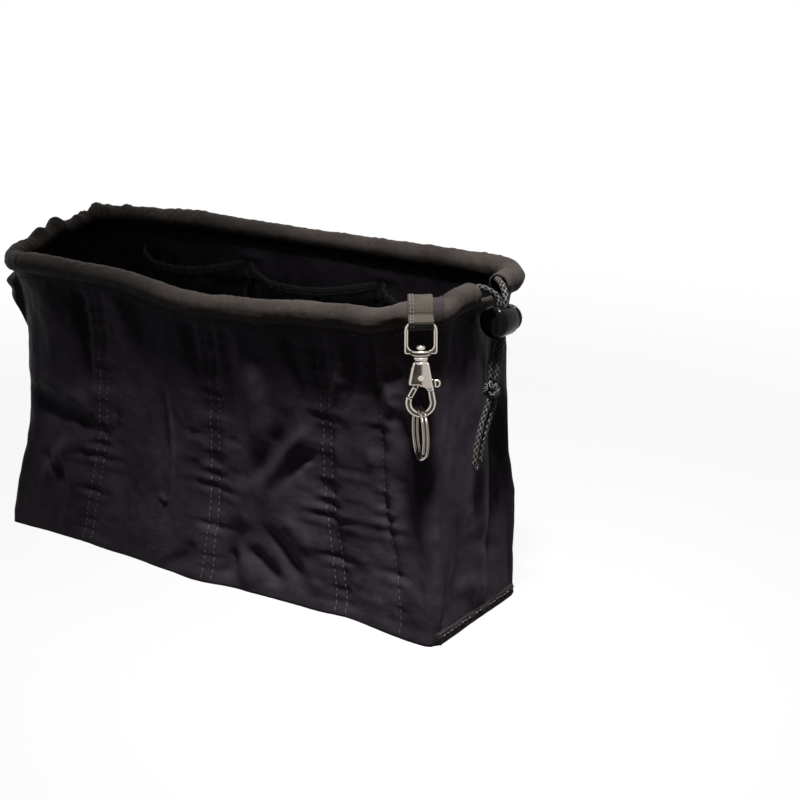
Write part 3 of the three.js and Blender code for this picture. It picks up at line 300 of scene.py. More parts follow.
PUCKER_WIDTH = 11.0
PUCKER_HEIGHT = 0.75
SEAM_DIP = 1.0
SEAM_WIDTH = 2.6
SEAM_GAP = 2.4
PUCKER_LENGTHS = (5, 3.4, 1)
# Wrinkles: how far they stand out and how long they are along each axis
SOFT_WRINKLE = 1.0
SOFT_WRINKLE_LENGTHS = (17, 17, 46)
SMALL_WRINKLE = 0.6
SMALL_WRINKLE_LENGTHS = (9, 9, 19)
FINE_WRINKLE = 0.34
FINE_WRINKLE_LENGTHS = (4.2, 4.2, 6.5)
EDGE_HOLD = 9.0
# The right end's ridge, which runs down from the tab
RIDGE_PLACE = 2
RIDGE_SLOPE = 0.16
# Height from which the wall is kept off the hook, the ring and the cord
HELD_FROM = 70


def strokes(folds, across, up):
    height = np.zeros(np.shape(across))
    for (a0, b0), (a1, b1), width, rise in folds:
        run = np.array([a1 - a0, b1 - b0], float)
        length = np.hypot(*run)
        share = ((across - a0) * run[0] + (up - b0) * run[1]) / length ** 2
        off = ((across - a0) * run[1] - (up - b0) * run[0]) / length
        off = off + 0.05 * length * (4 * share * (1 - share) - 0.5)
        fade = smooth((share + 0.12) / 0.4) * smooth((1.12 - share) / 0.4)
        height = height + rise * fade * np.exp(-(off / width) ** 2)
    return height


def seam_places(side):
    """Rows of stitching on a long side, as shares along it."""
    half = SEAM_GAP / BAG_LENGTH
    if side == 0:
        pairs = [at + step for at in FRONT_STITCH_SHARES[:3] for step in (-half, half)]
        return [*pairs, FRONT_STITCH_SHARES[3]]
    return [1 - at + step for at in BACK_STITCH_SHARES for step in (-half, half)]


def relief(station, z, place):
    """How far the cloth stands out from its plain shape."""
    side, share, _ = split_station(station)
    across = np.where(side % 2 == 0, place[..., 0], place[..., 1])
    spot = np.concatenate([place, z[..., None]], -1)
    height = np.zeros(z.shape)
    for index, folds in enumerate([FRONT_FOLDS, RIGHT_FOLDS, BACK_FOLDS, LEFT_FOLDS]):
        near = smooth((share + 0.04) / 0.08) * smooth((1.04 - share) / 0.08)
        height = height + np.where(side == index, near * strokes(folds, across, z), 0)
    height = height + SOFT_WRINKLE * noise(spot, SOFT_WRINKLE_LENGTHS, 3)
    height = height + SMALL_WRINKLE * noise(spot + 60, SMALL_WRINKLE_LENGTHS, 5)
    height = height + FINE_WRINKLE * noise(spot, FINE_WRINKLE_LENGTHS, 7)
    for index in (0, 2):
        inside = side == index
        for at in seam_places(index):
            away = np.abs(share - at) * BAG_LENGTH
            hold = np.exp(-(away / PUCKER_WIDTH) ** 2)
            pucker = noise(np.stack([away / 3, z, z * 0], -1), PUCKER_LENGTHS, 11 + index)
            near = 1 - 0.75 * np.exp(-(away / (2 * SEAM_WIDTH)) ** 2)
            change = PUCKER_HEIGHT * hold * pucker - SEAM_DIP * np.exp(-(away / SEAM_WIDTH) ** 2)
            height = np.where(inside, height * near + change, height)
    top = wall_top(station)
    level = np.clip(z / top, 0, 1)
    ends = 0.15 + 0.85 * smooth((top - z) / EDGE_HOLD)
    foot = 0.25 + 0.75 * smooth(z / EDGE_HOLD)
    slope = RIDGE_SLOPE * np.sin(np.pi * level) ** 0.5
    ridge = np.where(side == 1, -np.abs(place[..., 1] - RIDGE_PLACE) * slope, 0)
    ridge = ridge * smooth((0.5 - np.abs(share - 0.5)) / 0.25)
    return height * ends * foot + ridge


def held_by_hardware(station, z, height):
    """Keeps the wall off the hook, the ring and the cord, which hang close to it."""
    side, share, _ = split_station(station)
    near_end = np.where(side == 1, 1.0, np.where(side == 0, smooth((share - 0.9) / 0.05), 0.0))
    near_end = near_end * smooth((z - HELD_FROM) / 12)
    return np.where(near_end > 0, np.minimum(height, lerp(height, -0.2, near_end)), height)


def wall_point(station, z, depth=0.0, detail=1.0):
    """Place of the cloth, at a depth below its outer face, with its outward normal."""
    station, z = np.broadcast_arrays(np.asarray(station, float), np.asarray(z, float))
    place, normal = plan(station, np.clip(z / wall_top(station), 0, 1))
    height = held_by_hardware(station, z, relief(station, z, place)) * detail
    place = place + normal * (height - depth)[..., None]
    return np.concatenate([place, z[..., None]], -1), normal


# Materials

UNLIT = "030304"
UNLIT_SHARE = 0.85
KNIT_PITCHES = (0.0011, 0.0008)
TAPE_THREADS = (0.0009, 0.00055)


def material(name, colour, roughness, metallic=0.0, specular=0.5):
    made = bpy.data.materials.new(name)
    made.use_nodes = True
    shader = made.node_tree.nodes["Principled BSDF"]
    shader.inputs["Base Color"].default_value = (*linear(colour), 1)
    shader.inputs["Roughness"].default_value = roughness
    shader.inputs["Metallic"].default_value = metallic
    shader.inputs["Specular IOR Level"].default_value = specular
    return made, made.node_tree, shader


def linear(colour):
    """Linear colour of a web colour such as 1d181f."""
    parts = [int(colour[k:k + 2], 16) / 255 for k in (0, 2, 4)]
    return [c / 12.92 if c <= 0.04045 else ((c + 0.055) / 1.055) ** 2.4 for c in parts]


def node(tree, kind, inputs=None, **settings):
    made = tree.nodes.new(kind)
    for key, value in settings.items():
        setattr(made, key, value)
    for key, value in (inputs or {}).items():
        if hasattr(value, "is_output"):
            tree.links.new(value, made.inputs[key])
        else:
            made.inputs[key].default_value = value
    return made


def math_node(tree, operation, first, second=0.0, third=0.0):
    inputs = {0: first, 1: second}
    if operation == "MULTIPLY_ADD":
        inputs[2] = third
    return node(tree, "ShaderNodeMath", inputs, operation=operation).outputs[0]


def noise_at(tree, place, scale, detail=3.0, rough=0.55):
    inputs = {"Vector": place, "Scale": scale, "Detail": detail, "Roughness": rough}
    return node(tree, "ShaderNodeTexNoise", inputs).outputs["Fac"]


def two_colours(tree, shader, share, dark, light, low=0.3, high=0.7):
    ramp = node(tree, "ShaderNodeValToRGB", {"Fac": share})
    ramp.color_ramp.elements[0].position = low
    ramp.color_ramp.elements[1].position = high
    ramp.color_ramp.elements[0].color = (*linear(dark), 1)
    ramp.color_ramp.elements[1].color = (*linear(light), 1)
    tree.links.new(ramp.outputs["Color"], shader.inputs["Base Color"])


def roughness_between(tree, shader, share, low, high):
    spread = node(tree, "ShaderNodeMapRange", {"Value": share, "To Min": low, "To Max": high})
    tree.links.new(spread.outputs[0], shader.inputs["Roughness"])


def bump(tree, shader, steps):
    """Chain of bumps, each a height and its depth in metres."""
    normal = None
    for height, depth in steps:
        made = node(tree, "ShaderNodeBump", {"Height": height, "Distance": depth, "Strength": 1.0})
        if normal is not None:
            tree.links.new(normal, made.inputs["Normal"])
        normal = made.outputs["Normal"]
    tree.links.new(normal, shader.inputs["Normal"])


def weave_height(tree, across, along):
    """Plain weave from the UV map, which is in metres: threads of the two directions, over and under."""
    uv = node(tree, "ShaderNodeUVMap").outputs["UV"]
    parts = node(tree, "ShaderNodeSeparateXYZ", {0: uv})
    u = math_node(tree, "MULTIPLY", parts.outputs[0], math.pi / across)
    v = math_node(tree, "MULTIPLY", parts.outputs[1], math.pi / along)
    sines = [math_node(tree, "SINE", turn) for turn in (u, v)]
    over = math_node(tree, "MULTIPLY", *sines)
    rounds = [math_node(tree, "ABSOLUTE", sine) for sine in sines]
    return math_node(tree, "MULTIPLY_ADD", over, 0.5, math_node(tree, "MULTIPLY", *rounds))


def cloth(name, dark, light, rough, specular, threads=0.00042, wrinkle=0.0004):
    """Woven nylon: threads lighter on their crests, small creases, uneven dye, and painted shade where
    the mesh marks it.
    """
    made, tree, shader = material(name, light, rough, specular=specular)
    place = node(tree, "ShaderNodeTexCoord").outputs["Object"]
    cloudy = noise_at(tree, place, scale=28, detail=4)
    weave = weave_height(tree, threads, threads)
    speck = noise_at(tree, place, scale=900, detail=2)
    tint = math_node(tree, "MULTIPLY_ADD", weave, 0.22, cloudy)
    tint = math_node(tree, "MULTIPLY_ADD", speck, 0.2, tint)
    # Painted shade: where the inside attribute is set, the colour is darkened towards the near-black
    # UNLIT, by up to UNLIT_SHARE.
    inside = node(tree, "ShaderNodeAttribute", attribute_name="inside").outputs["Fac"]
    two_colours(tree, shader, tint, dark, light, 0.35, 0.95)
    outer_colour = shader.inputs["Base Color"].links[0].from_socket
    depth = math_node(tree, "MULTIPLY", inside, UNLIT_SHARE)
    shaded = node(tree, "ShaderNodeMix", {0: depth, 6: outer_colour, 7: (*linear(UNLIT), 1)},
                  data_type="RGBA")
    tree.links.new(shaded.outputs[2], shader.inputs["Base Color"])
    roughness_between(tree, shader, cloudy, rough - 0.07, rough + 0.1)
    creases = noise_at(tree, place, scale=160, detail=5, rough=0.6)
    ridges = math_node(tree, "SUBTRACT", noise_at(tree, place, scale=70, detail=3), 0.5)
    ridges = math_node(tree, "ABSOLUTE", ridges)
    bump(tree, shader, [(ridges, 2.2 * wrinkle), (creases, wrinkle), (weave, threads / 7)])
    return made


def knit(name, dark, light):
    """Elastic: ribs across the band, fuzzy."""
    made, tree, shader = material(name, light, 0.85, specular=0.03)
    place = node(tree, "ShaderNodeTexCoord").outputs["Object"]
    uv = node(tree, "ShaderNodeUVMap").outputs["UV"]
    parts = node(tree, "ShaderNodeSeparateXYZ", {0: uv})
    rib, course = (
        math_node(tree, "SINE", math_node(tree, "MULTIPLY", parts.outputs[k], 2 * math.pi / pitch))
        for k, pitch in enumerate(KNIT_PITCHES))
    height = math_node(tree, "MULTIPLY_ADD", rib, 0.6, math_node(tree, "MULTIPLY", rib, course))
    fuzz = noise_at(tree, place, scale=1500, detail=3)
    two_colours(tree, shader, math_node(tree, "MULTIPLY_ADD", height, 0.2, fuzz), dark, light, 0.2, 0.9)
    bump(tree, shader, [(height, 0.00018), (fuzz, 0.00012)])
    return made


def tape(name, dark, light, rough, specular):
    """Webbing and binding tape: close ribs."""
    made, tree, shader = material(name, light, rough, specular=specular)
    place = node(tree, "ShaderNodeTexCoord").outputs["Object"]
    weave = weave_height(tree, *TAPE_THREADS)
    cloudy = noise_at(tree, place, scale=60, detail=4)
    two_colours(tree, shader, math_node(tree, "MULTIPLY_ADD", weave, 0.35, cloudy), dark, light, 0.3, 1.0)
    roughness_between(tree, shader, cloudy, rough - 0.08, rough + 0.08)
    bump(tree, shader, [(noise_at(tree, place, scale=240, detail=4), 0.0003), (weave, 0.00016)])
    return made


def braid(name, dark, light):
    """Braided cord, whose mesh says which yarns are pale."""
    made, tree, shader = material(name, dark, 0.6, specular=0.12)
    yarn = node(tree, "ShaderNodeAttribute", attribute_name="yarn").outputs["Fac"]
    place = node(tree, "ShaderNodeTexCoord").outputs["Object"]
    fibre = noise_at(tree, place, scale=2600, detail=3)
    share = math_node(tree, "MULTIPLY_ADD", fibre, 0.35, yarn)
    two_colours(tree, shader, share, dark, light, 0.3, 1.1)
    roughness_between(tree, shader, fibre, 0.5, 0.75)
    bump(tree, shader, [(fibre, 0.00016)])
    return made


def metal(name, dark, light, rough):
    """Plated metal: faint flow marks, small scratches, and painted reflection, light on edges and dark on
    faces and in hollows.
    """
    made, tree, shader = material(name, light, rough, metallic=1.0)
    place = node(tree, "ShaderNodeTexCoord").outputs["Object"]
    cloudy = noise_at(tree, place, scale=120, detail=4)
    fine = noise_at(tree, place, scale=1400, detail=3)
    # Painted reflection: the point attribute makes edges light and leaves faces and hollows dark.
    painted_highlight = node(tree, "ShaderNodeAttribute", attribute_name="painted_highlight").outputs["Fac"]
    two_colours(tree, shader, math_node(tree, "MULTIPLY_ADD", cloudy, 0.3, painted_highlight), dark, light, 0.1, 1.1)
    uneven = math_node(tree, "MULTIPLY_ADD", fine, 0.5, cloudy)
    roughness_between(tree, shader, uneven, rough * 0.5, rough * 1.5)
    bump(tree, shader, [(cloudy, 0.00012), (fine, 0.000012)])
    return made


def plastic(name, dark, light, rough):
    """Moulded plastic: slight flow, fine scuffs."""
    made, tree, shader = material(name, light, rough, specular=0.1)
    place = node(tree, "ShaderNodeTexCoord").outputs["Object"]
    cloudy = noise_at(tree, place, scale=90, detail=3)
    scuff = noise_at(tree, place, scale=1100, detail=4)
    two_colours(tree, shader, cloudy, dark, light)
    uneven = math_node(tree, "MULTIPLY_ADD", scuff, 0.6, cloudy)
    roughness_between(tree, shader, uneven, rough * 0.6, rough * 1.7)
    bump(tree, shader, [(cloudy, 0.00008), (scuff, 0.00001)])
    return made


NYLON = cloth("nylon_cloth", "241f26", "544c55", 0.46, 0.02)
CASING = cloth("casing_cloth", "262221", "524b47", 0.5, 0.03, wrinkle=0.0005)
# Painted shade: the lining's near-black colour, far darker than the nylon's, stands for the shade inside
# the bag.
LINING = cloth("lining_cloth", "040405", "121013", 0.6, 0.02)
BINDING = tape("binding_tape", "1c191b", "4a4446", 0.75, 0.03)
ELASTIC = knit("elastic_knit", "0a0a0b", "2a2a2b")
WEBBING = tape("tab_webbing", "2e2a27", "5f5850", 0.6, 0.08)
THREAD = cloth("sewing_thread", "5f5a60", "948e95", 0.6, 0.03, threads=0.00025, wrinkle=0.0001)
CORD = braid("speckled_cord", "0b0b0c", "8f8d8a")
BLACK = plastic("black_plastic", "010102", "040405", 0.12)
NICKEL = metal("bright_nickel", "2a2420", "cdc4ba", 0.17)
STEEL = metal("spring_steel", "4d4d50", "8f8f91", 0.28)


# Mesh making

def piece(name, places, faces, surface, body, replaces=(), uv=None, sharp=None):
    """Adds a mesh piece. Places are in millimetres; uv is one pair for each corner of each face."""
    mesh = bpy.data.meshes.new(name)
    mesh.from_pydata((np.asarray(places, float) * MM).tolist(), [], [list(map(int, f)) for f in faces])
    mesh.validate()
    if uv is not None:
        layer = mesh.uv_layers.new(name="UVMap")
        layer.data.foreach_set("uv", (np.asarray(uv, np.float32) * MM).ravel())
    mesh.polygons.foreach_set("use_smooth", [True] * len(mesh.polygons))
    if sharp is not None:
        mesh.set_sharp_from_angle(angle=math.radians(sharp))
    made = bpy.data.objects.new(name, mesh)
    bpy.context.scene.collection.objects.link(made)
    mesh.materials.append(surface)
    carry(made, body, replaces)
    return made


def carry(made, body, replaces):
    """Hangs a piece on its body and hides the model's nodes that it stands for."""
    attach(made, body)
    if replaces:
        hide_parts(*replaces)


def grid(rows, columns, wrap_rows=False, wrap_columns=False):
    """Quads of a grid whose point (row, column) has the number row * columns + column."""
    r = np.arange(rows if wrap_rows else rows - 1)[:, None]
    c = np.arange(columns if wrap_columns else columns - 1)[None]
    r, c = np.broadcast_arrays(r, c)
    r1, c1 = (r + 1) % rows, (c + 1) % columns
    corners = [r * columns + c, r1 * columns + c, r1 * columns + c1, r * columns + c1]
    return np.stack(corners, -1).reshape(-1, 4)


def grid_uv(us, vs):
    """UV of each corner of a grid's quads, from coordinates one longer than the grid where it wraps."""
    flat = np.stack([us, vs], -1)
    corners = [flat[:-1, :-1], flat[1:, :-1], flat[1:, 1:], flat[:-1, 1:]]
    return np.stack(corners, -2).reshape(-1, 2)


def closed_grid(name, points, surface, body, replaces=(), caps=False):
    """Tube or ring mesh: points is (rows, columns, 3), closed round its columns.

    It is closed round its rows too, unless it has caps.
    """
    rows, columns = points.shape[:2]
    faces = grid(rows, columns, wrap_rows=not caps, wrap_columns=True)
    step = np.linalg.norm(np.diff(points, axis=0, append=points[:1]), axis=-1).mean(1)
    girth = np.linalg.norm(points - np.roll(points, -1, 1), axis=-1).mean()
    v = np.concatenate([[0], np.cumsum(step)])[:rows + (0 if caps else 1)]
    uv = list(map(tuple, grid_uv(*np.meshgrid(np.arange(columns + 1) * girth, v))))
    faces = [list(f) for f in faces]
    if caps:
        for row, order in ((0, 1), (rows - 1, -1)):
            face = list(range(row * columns, (row + 1) * columns))[::order]
            faces.append(face)
            uv += [(0, 0)] * columns
    return facing_out(piece(name, points.reshape(-1, 3), faces, surface, body, replaces, uv))


def facing_out(made):
    """Turns the faces of a closed mesh outwards."""
    work = bmesh.new()
    work.from_mesh(made.data)
    bmesh.ops.recalc_face_normals(work, faces=work.faces)
    work.to_mesh(made.data)
    work.free()
    return made


def point_values(made, name, values):
    """Gives a piece a number at each of its points, for its material."""
    layer = made.data.attributes.new(name, "FLOAT", "POINT")
    layer.data.foreach_set("value", np.asarray(values, np.float32).ravel())


def catmull(route, step):
    """Points about a step apart on a smooth curve through a route's points."""
    p = np.asarray(route, float)
    p = np.vstack([2 * p[0] - p[1], p, 2 * p[-1] - p[-2]])
    found = []
    for k in range(1, len(p) - 2):
        t = np.linspace(0, 1, 24, endpoint=False)[:, None]
        a, b, c, d = p[k - 1:k + 3]
        found.append(0.5 * (2 * b + (c - a) * t + (2 * a - 5 * b + 4 * c - d) * t ** 2
                            + (3 * b - a - 3 * c + d) * t ** 3))
    found = np.vstack([*found, p[-2]])
    lengths = np.concatenate([[0], np.cumsum(np.linalg.norm(np.diff(found, axis=0), axis=1))])
    count = max(int(lengths[-1] / step), 2)
    wanted = np.linspace(0, lengths[-1], count + 1)
    return np.stack([np.interp(wanted, lengths, found[:, k]) for k in range(3)], -1), wanted


def round_turn(count):
    """Angles of a whole turn in even steps."""
    return 2 * np.pi * np.arange(count) / count


def frames_along(points, closed):
    """Two unit vectors square to a line of points, carried along it without twist."""
    ahead = np.roll(points, -1, 0) if closed else np.vstack([points[1:], 2 * points[-1] - points[-2]])
    behind = np.roll(points, 1, 0) if closed else np.vstack([2 * points[0] - points[1], points[:-1]])
    along = ahead - behind
    along /= np.linalg.norm(along, axis=1)[:, None]
    start = np.cross(along[0], (0, 0, 1) if abs(along[0][2]) < 0.9 else (1, 0, 0))
    firsts = [start / np.linalg.norm(start)]
    for tangent in along[1:]:
        carried = firsts[-1] - tangent * (firsts[-1] @ tangent)
        firsts.append(carried / np.linalg.norm(carried))
    firsts = np.array(firsts)
    return firsts, np.cross(along, firsts)


def tube_points(points, radius, sides, closed=False):
    first, second = frames_along(points, closed)
    angle = round_turn(sides)
    radius = np.broadcast_to(np.asarray(radius, float), (len(points), sides))
    ring = first[:, None] * np.cos(angle)[None, :, None] + second[:, None] * np.sin(angle)[None, :, None]
    return points[:, None] + ring * radius[..., None]


# Camera, lights and floor

CAMERA_PLACE = Vector((0.51065, -0.61298, 0.34681))
CAMERA_TURN = math.radians(33.99)
CAMERA_RISE = math.radians(18.13)
CAMERA_LENS = 72.03
SENSOR_WIDTH = 36
NEAREST_SEEN = 0.01


def direction(azimuth, elevation):
    """Unit vector towards a place seen from the object, azimuth 0 in front of it and 90 on its right."""
    a, e = math.radians(azimuth), math.radians(elevation)
    return Vector((math.sin(a) * math.cos(e), -math.cos(a) * math.cos(e), math.sin(e)))


def add_camera():
    camera = bpy.data.objects.new("camera", bpy.data.cameras.new("camera"))
    bpy.context.scene.collection.objects.link(camera)
    camera.data.lens = CAMERA_LENS
    camera.data.sensor_width = SENSOR_WIDTH
    camera.data.clip_start = NEAREST_SEEN
    camera.location = CAMERA_PLACE
    back = direction(math.degrees(CAMERA_TURN), math.degrees(CAMERA_RISE))
    camera.rotation_euler = (-back).to_track_quat("-Z", "Y").to_euler()
    bpy.context.scene.camera = camera


BAG_MIDDLE = (0, 0, 0.09)
# Lamps: name, azimuth, elevation, distance, size, power, the place that it is aimed at, and spread
LAMPS = [
    ("key_light", 52, 64, 0.65, 0.08, 0.68, (0.16, -0.05, 0.05), 58),
    ("top_light", 160, 72, 1.2, 0.4, 2.2, BAG_MIDDLE, 180),
]


def add_light(name, azimuth, elevation, distance, size, power, aim, spread):
    """Round lamp in a direction and at a distance from the bag, turned to the place it is aimed at."""
    light = bpy.data.lights.new(name, "AREA")
    light.shape = "DISK"
    light.size = size
    light.energy = power
    light.spread = math.radians(spread)
    lamp = bpy.data.objects.new(name, light)
    bpy.context.scene.collection.objects.link(lamp)
    lamp.location = Vector(BAG_MIDDLE) + direction(azimuth, elevation) * distance
    lamp.rotation_euler = (Vector(aim) - lamp.location).to_track_quat("-Z", "Y").to_euler()


WORLD_FILL = 0.015
FLOOR_LIT = 0.03
FLOOR_OWN_WHITE = 0.92
FLOOR_HALF = 7.0
FLOOR_FADE = {"From Min": 0.3, "From Max": 0.75}
FLOOR_PALE = {"To Min": 0.9, "To Max": 0.95}


def seen_directly(tree):
    """One for the camera and for what metal or glass shows, zero for light that the cloth picks up."""
    shown = node(tree, "ShaderNodeLightPath").outputs
    mirrored = math_node(tree, "MAXIMUM", shown["Is Glossy Ray"], shown["Is Transmission Ray"])
    return math_node(tree, "MAXIMUM", shown["Is Camera Ray"], mirrored)


def add_world():
    world = bpy.data.worlds.new("studio")
    bpy.context.scene.world = world
    world.use_nodes = True
    tree = world.node_tree
    seen = seen_directly(tree)
    strength = node(tree, "ShaderNodeMapRange", {"Value": seen, "To Min": WORLD_FILL, "To Max": 1.0})
    sky = tree.nodes["Background"]
    sky.inputs["Color"].default_value = (1, 1, 1, 1)
    tree.links.new(strength.outputs[0], sky.inputs["Strength"])


def add_floor():
    """Pale floor that keeps the bag's shadow and is plain white further off."""
    mesh = bpy.data.meshes.new("floor")
    half = FLOOR_HALF
    corners = [(-half, -half, 0), (half, -half, 0), (half, half, 0), (-half, half, 0)]
    mesh.from_pydata(corners, [], [(0, 1, 2, 3)])
    floor = bpy.data.objects.new("floor", mesh)
    bpy.context.scene.collection.objects.link(floor)
    made, tree, shader = material("pale_floor", "f6f6f6", 0.9, specular=0.0)
    place = node(tree, "ShaderNodeTexCoord").outputs["Object"]
    seen = seen_directly(tree)
    pale = node(tree, "ShaderNodeMapRange", {"Value": noise_at(tree, place, scale=3), **FLOOR_PALE})
    shown = {"Value": seen, "To Min": FLOOR_LIT, "To Max": pale.outputs[0]}
    shown = node(tree, "ShaderNodeMapRange", shown)
    tree.links.new(shown.outputs[0], shader.inputs["Base Color"])
    away = node(tree, "ShaderNodeVectorMath", {0: place}, operation="LENGTH").outputs["Value"]
    far = node(tree, "ShaderNodeMapRange", {"Value": away, **FLOOR_FADE},
               interpolation_type="SMOOTHSTEP").outputs[0]
    white = node(tree, "ShaderNodeEmission", {"Color": (1, 1, 1, 1), "Strength": 1.0})
    share = node(tree, "ShaderNodeMapRange", {"Value": far, "To Min": FLOOR_OWN_WHITE, "To Max": 1.0})
    share = math_node(tree, "MULTIPLY", share.outputs[0], seen)
    mixed = node(tree, "ShaderNodeMixShader", {0: share, 1: shader.outputs[0], 2: white.outputs[0]})
    tree.links.new(mixed.outputs[0], tree.nodes["Material Output"].inputs["Surface"])
    mesh.materials.append(made)


add_camera()
add_world()
for lamp_values in LAMPS:
    add_light(*lamp_values)
add_floor()

# Cords

RIM_END = np.array([BAG_LENGTH / 2 - RIM_INSET_RIGHT, 0, RIM_HEIGHT])
STRANDS = {
    "cord_strand_front": [
        (0.1, -7.6, 2.5), (0.3, -6.2, 2.8), (1.2, -4.4, 2.9), (2.6, -2.6, 2.5), (4.2, -0.8, 1.5),
        (5.8, 0.8, 0.1), (7.2, 2, -1.6), (8.3, 2.5, -3.5), (8.68, 2.5, -5.5), (8.53, 2.4, -7.5),
        (8.14, 2, -12.5), (7.74, 1.71, -17.5), (7.35, 1.42, -22.5), (6.96, 1.14, -27.5),
        (6.56, 0.85, -32.5), (6.17, 0.56, -37.5), (5.87, 0.34, -41.5),
    ],
    "cord_strand_rear": [
        (0.1, 15, 2.3), (0.7, 13.9, 2.9), (1.8, 12.4, 3.1), (3.8, 10.4, 3.1), (6, 8.4, 2.7),
        (8.2, 6.4, 1.7), (10.2, 4.6, 0.1), (11.5, 3.2, -2.1), (11.85, 2.55, -4.5),
        (11.76, 2.4, -6.9), (11.44, 2, -12.5), (11.04, 1.71, -17.5), (10.65, 1.42, -22.5),
        (10.26, 1.14, -27.5), (9.86, 0.85, -32.5), (9.47, 0.56, -37.5), (9.15, 0.34, -41.5),
    ],
}
TAILS = {
    "cord_tail_front": [
        (6.6, -1.6, -50.3), (6.4, -2, -52.3), (6, -2.9, -55.1), (5.5, -4.1, -58.3),
        (5.2, -5.5, -61.9), (5, -6.9, -65.5), (4.9, -8.2, -69.1), (4.8, -9.3, -72.9),
        (4.8, -10.2, -76.9), (4.8, -10.9, -80.9),
    ],
    "cord_tail_rear": [
        (7.4, 1.8, -50.3), (7.3, 1.6, -52.3), (7, 0.9, -55.1), (6.5, -0.2, -58.3),
        (6.1, -1.5, -61.9), (5.8, -2.9, -65.5), (5.5, -4.3, -69.1), (5.3, -5.5, -72.9),
        (5.2, -6.5, -76.9), (5.2, -7.3, -80.9),
    ],
}
KNOT_OFFSET = (7, 0.1, -46)
YARNS = 16
YARN_PITCH = 0.75
YARN_RISE = 0.16
CORD_END_LENGTH = 0.7
INNER_CORD_SIDES = 14
KNOT_SPREAD = 1.02
KNOT_THICKNESS = 1.9
# The knot's two strands: piece, height, turn in radians, radius and the node it replaces
KNOT_STRANDS = [("knot", 0.7, 0.4, 1.25, ("cord_knot",)), ("knot_second_strand", -0.8, 1.3, 1.2, ())]
TUFT_FIBRES = 22
TUFT_STEPS = 7
TUFT_SIDES = 5


def braid_shape(angle, along):
    """Height of the top yarn, and its paleness, of a braid whose yarns run both ways round."""
    u = angle * YARNS / (2 * np.pi) + along / YARN_PITCH
    v = angle * YARNS / (2 * np.pi) - along / YARN_PITCH
    over = (np.floor(u) + np.floor(v)) % 2 == 0
    high = np.where(over, np.sin(np.pi * (u % 1)) ** 0.6, np.sin(np.pi * (v % 1)) ** 0.6)
    long = np.where(over, np.sin(np.pi * (v % 1)) ** 0.35, np.sin(np.pi * (u % 1)) ** 0.35)
    pale = np.where(over, np.floor(u) % 4 == 1, np.floor(v) % 4 == 3)
    return high * long, pale.astype(float)


def braided(name, route, radius, replaces, closed=False, sides=32, step=0.16):
    points, along = catmull(route, step)
    if closed:
        points, along = points[:-1], along[:-1]
    angle = round_turn(sides)
    high, pale = braid_shape(angle[None], along[:, None])
    grown = radius - YARN_RISE + YARN_RISE * high
    if not closed:
        rest = np.minimum(along, along[-1] - along)[:, None]
        closing = 1 - np.clip(rest / CORD_END_LENGTH, 0, 1)
        grown = grown * np.sqrt(np.clip(1 - closing ** 2, 0.03, 1))
    made = closed_grid(name, tube_points(points, grown, sides, closed), CORD, "bag",
                       replaces, caps=not closed)
    point_values(made, "yarn", pale)
    return made, points, along[-1]


def knot_path(lift, turn):
    """Closed trefoil, flattened a little, at a height and turned about the upright."""
    t = round_turn(40)
    x = KNOT_SPREAD * (np.sin(t) + 2 * np.sin(2 * t))
    y = KNOT_SPREAD * (np.cos(t) - 2 * np.cos(2 * t))
    z = (lift - KNOT_THICKNESS * np.sin(3 * t)) * 0.9
    c, s = math.cos(turn), math.sin(turn)
    spot = np.stack([x * c - y * s, z, (x * s + y * c) * 1.1], -1)
    return np.vstack([spot, spot[:1]]) + RIM_END + np.array(KNOT_OFFSET)


def add_cords():
    knots = [braided(name, knot_path(lift, turn), radius, nodes, closed=True, step=0.2, sides=24)[0]
             for name, lift, turn, radius, nodes in KNOT_STRANDS]
    kinds = [(STRANDS, {"far_end": "knot", "with_pieces": knots}), (TAILS, {"far_end": "bare"})]
    for routes, ending in kinds:
        for name, route in routes.items():
            points = np.array(route) + RIM_END
            made, line, length = braided(name.replace("cord_", ""), points, CORD_RADIUS, (name,))
            if routes is TAILS:
                add_tuft(name, line)


def add_tuft(name, line):
    """Frayed yarns past a tail's end."""
    chance = np.random.default_rng(len(name))
    down = line[-1] - line[-6]
    down /= np.linalg.norm(down)
    share = np.linspace(0, 1, TUFT_STEPS)[:, None]
    thickness = np.linspace(0.2, 0.09, TUFT_STEPS)[:, None] * np.ones((1, TUFT_SIDES))
    quads = grid(TUFT_STEPS, TUFT_SIDES, wrap_columns=True).tolist()
    last = (TUFT_STEPS - 1) * TUFT_SIDES
    caps = [list(range(TUFT_SIDES))[::-1], list(range(last, last + TUFT_SIDES))]
    places, faces, pales = [], [], []
    for k in range(TUFT_FIBRES):
        start = line[-1] - down * 0.8 + chance.normal(0, 0.55, 3)
        lean = down + chance.normal(0, 0.32, 3)
        bend = chance.normal(0, 0.5, 3)
        reach = chance.uniform(1.6, 3.6)
        fibre = start + lean * share * reach + bend * share ** 2
        fibre[:, 0] = np.maximum(fibre[:, 0], line[-1][0] - 1.2)
        base = k * TUFT_STEPS * TUFT_SIDES
        faces += [[base + i for i in face] for face in quads + caps]
        places.append(tube_points(fibre, thickness, TUFT_SIDES).reshape(-1, 3))
        pales.append(np.full(TUFT_STEPS * TUFT_SIDES, float(k % 3 == 0)))
    made = piece(name.replace("cord_", "") + "_frayed_end", np.vstack(places), faces, CORD, "bag")
    facing_out(made)
    point_values(made, "yarn", np.concatenate(pales))


add_cords()


# The bag's cloth

UPWARD = np.array([0, 0, 1.0])
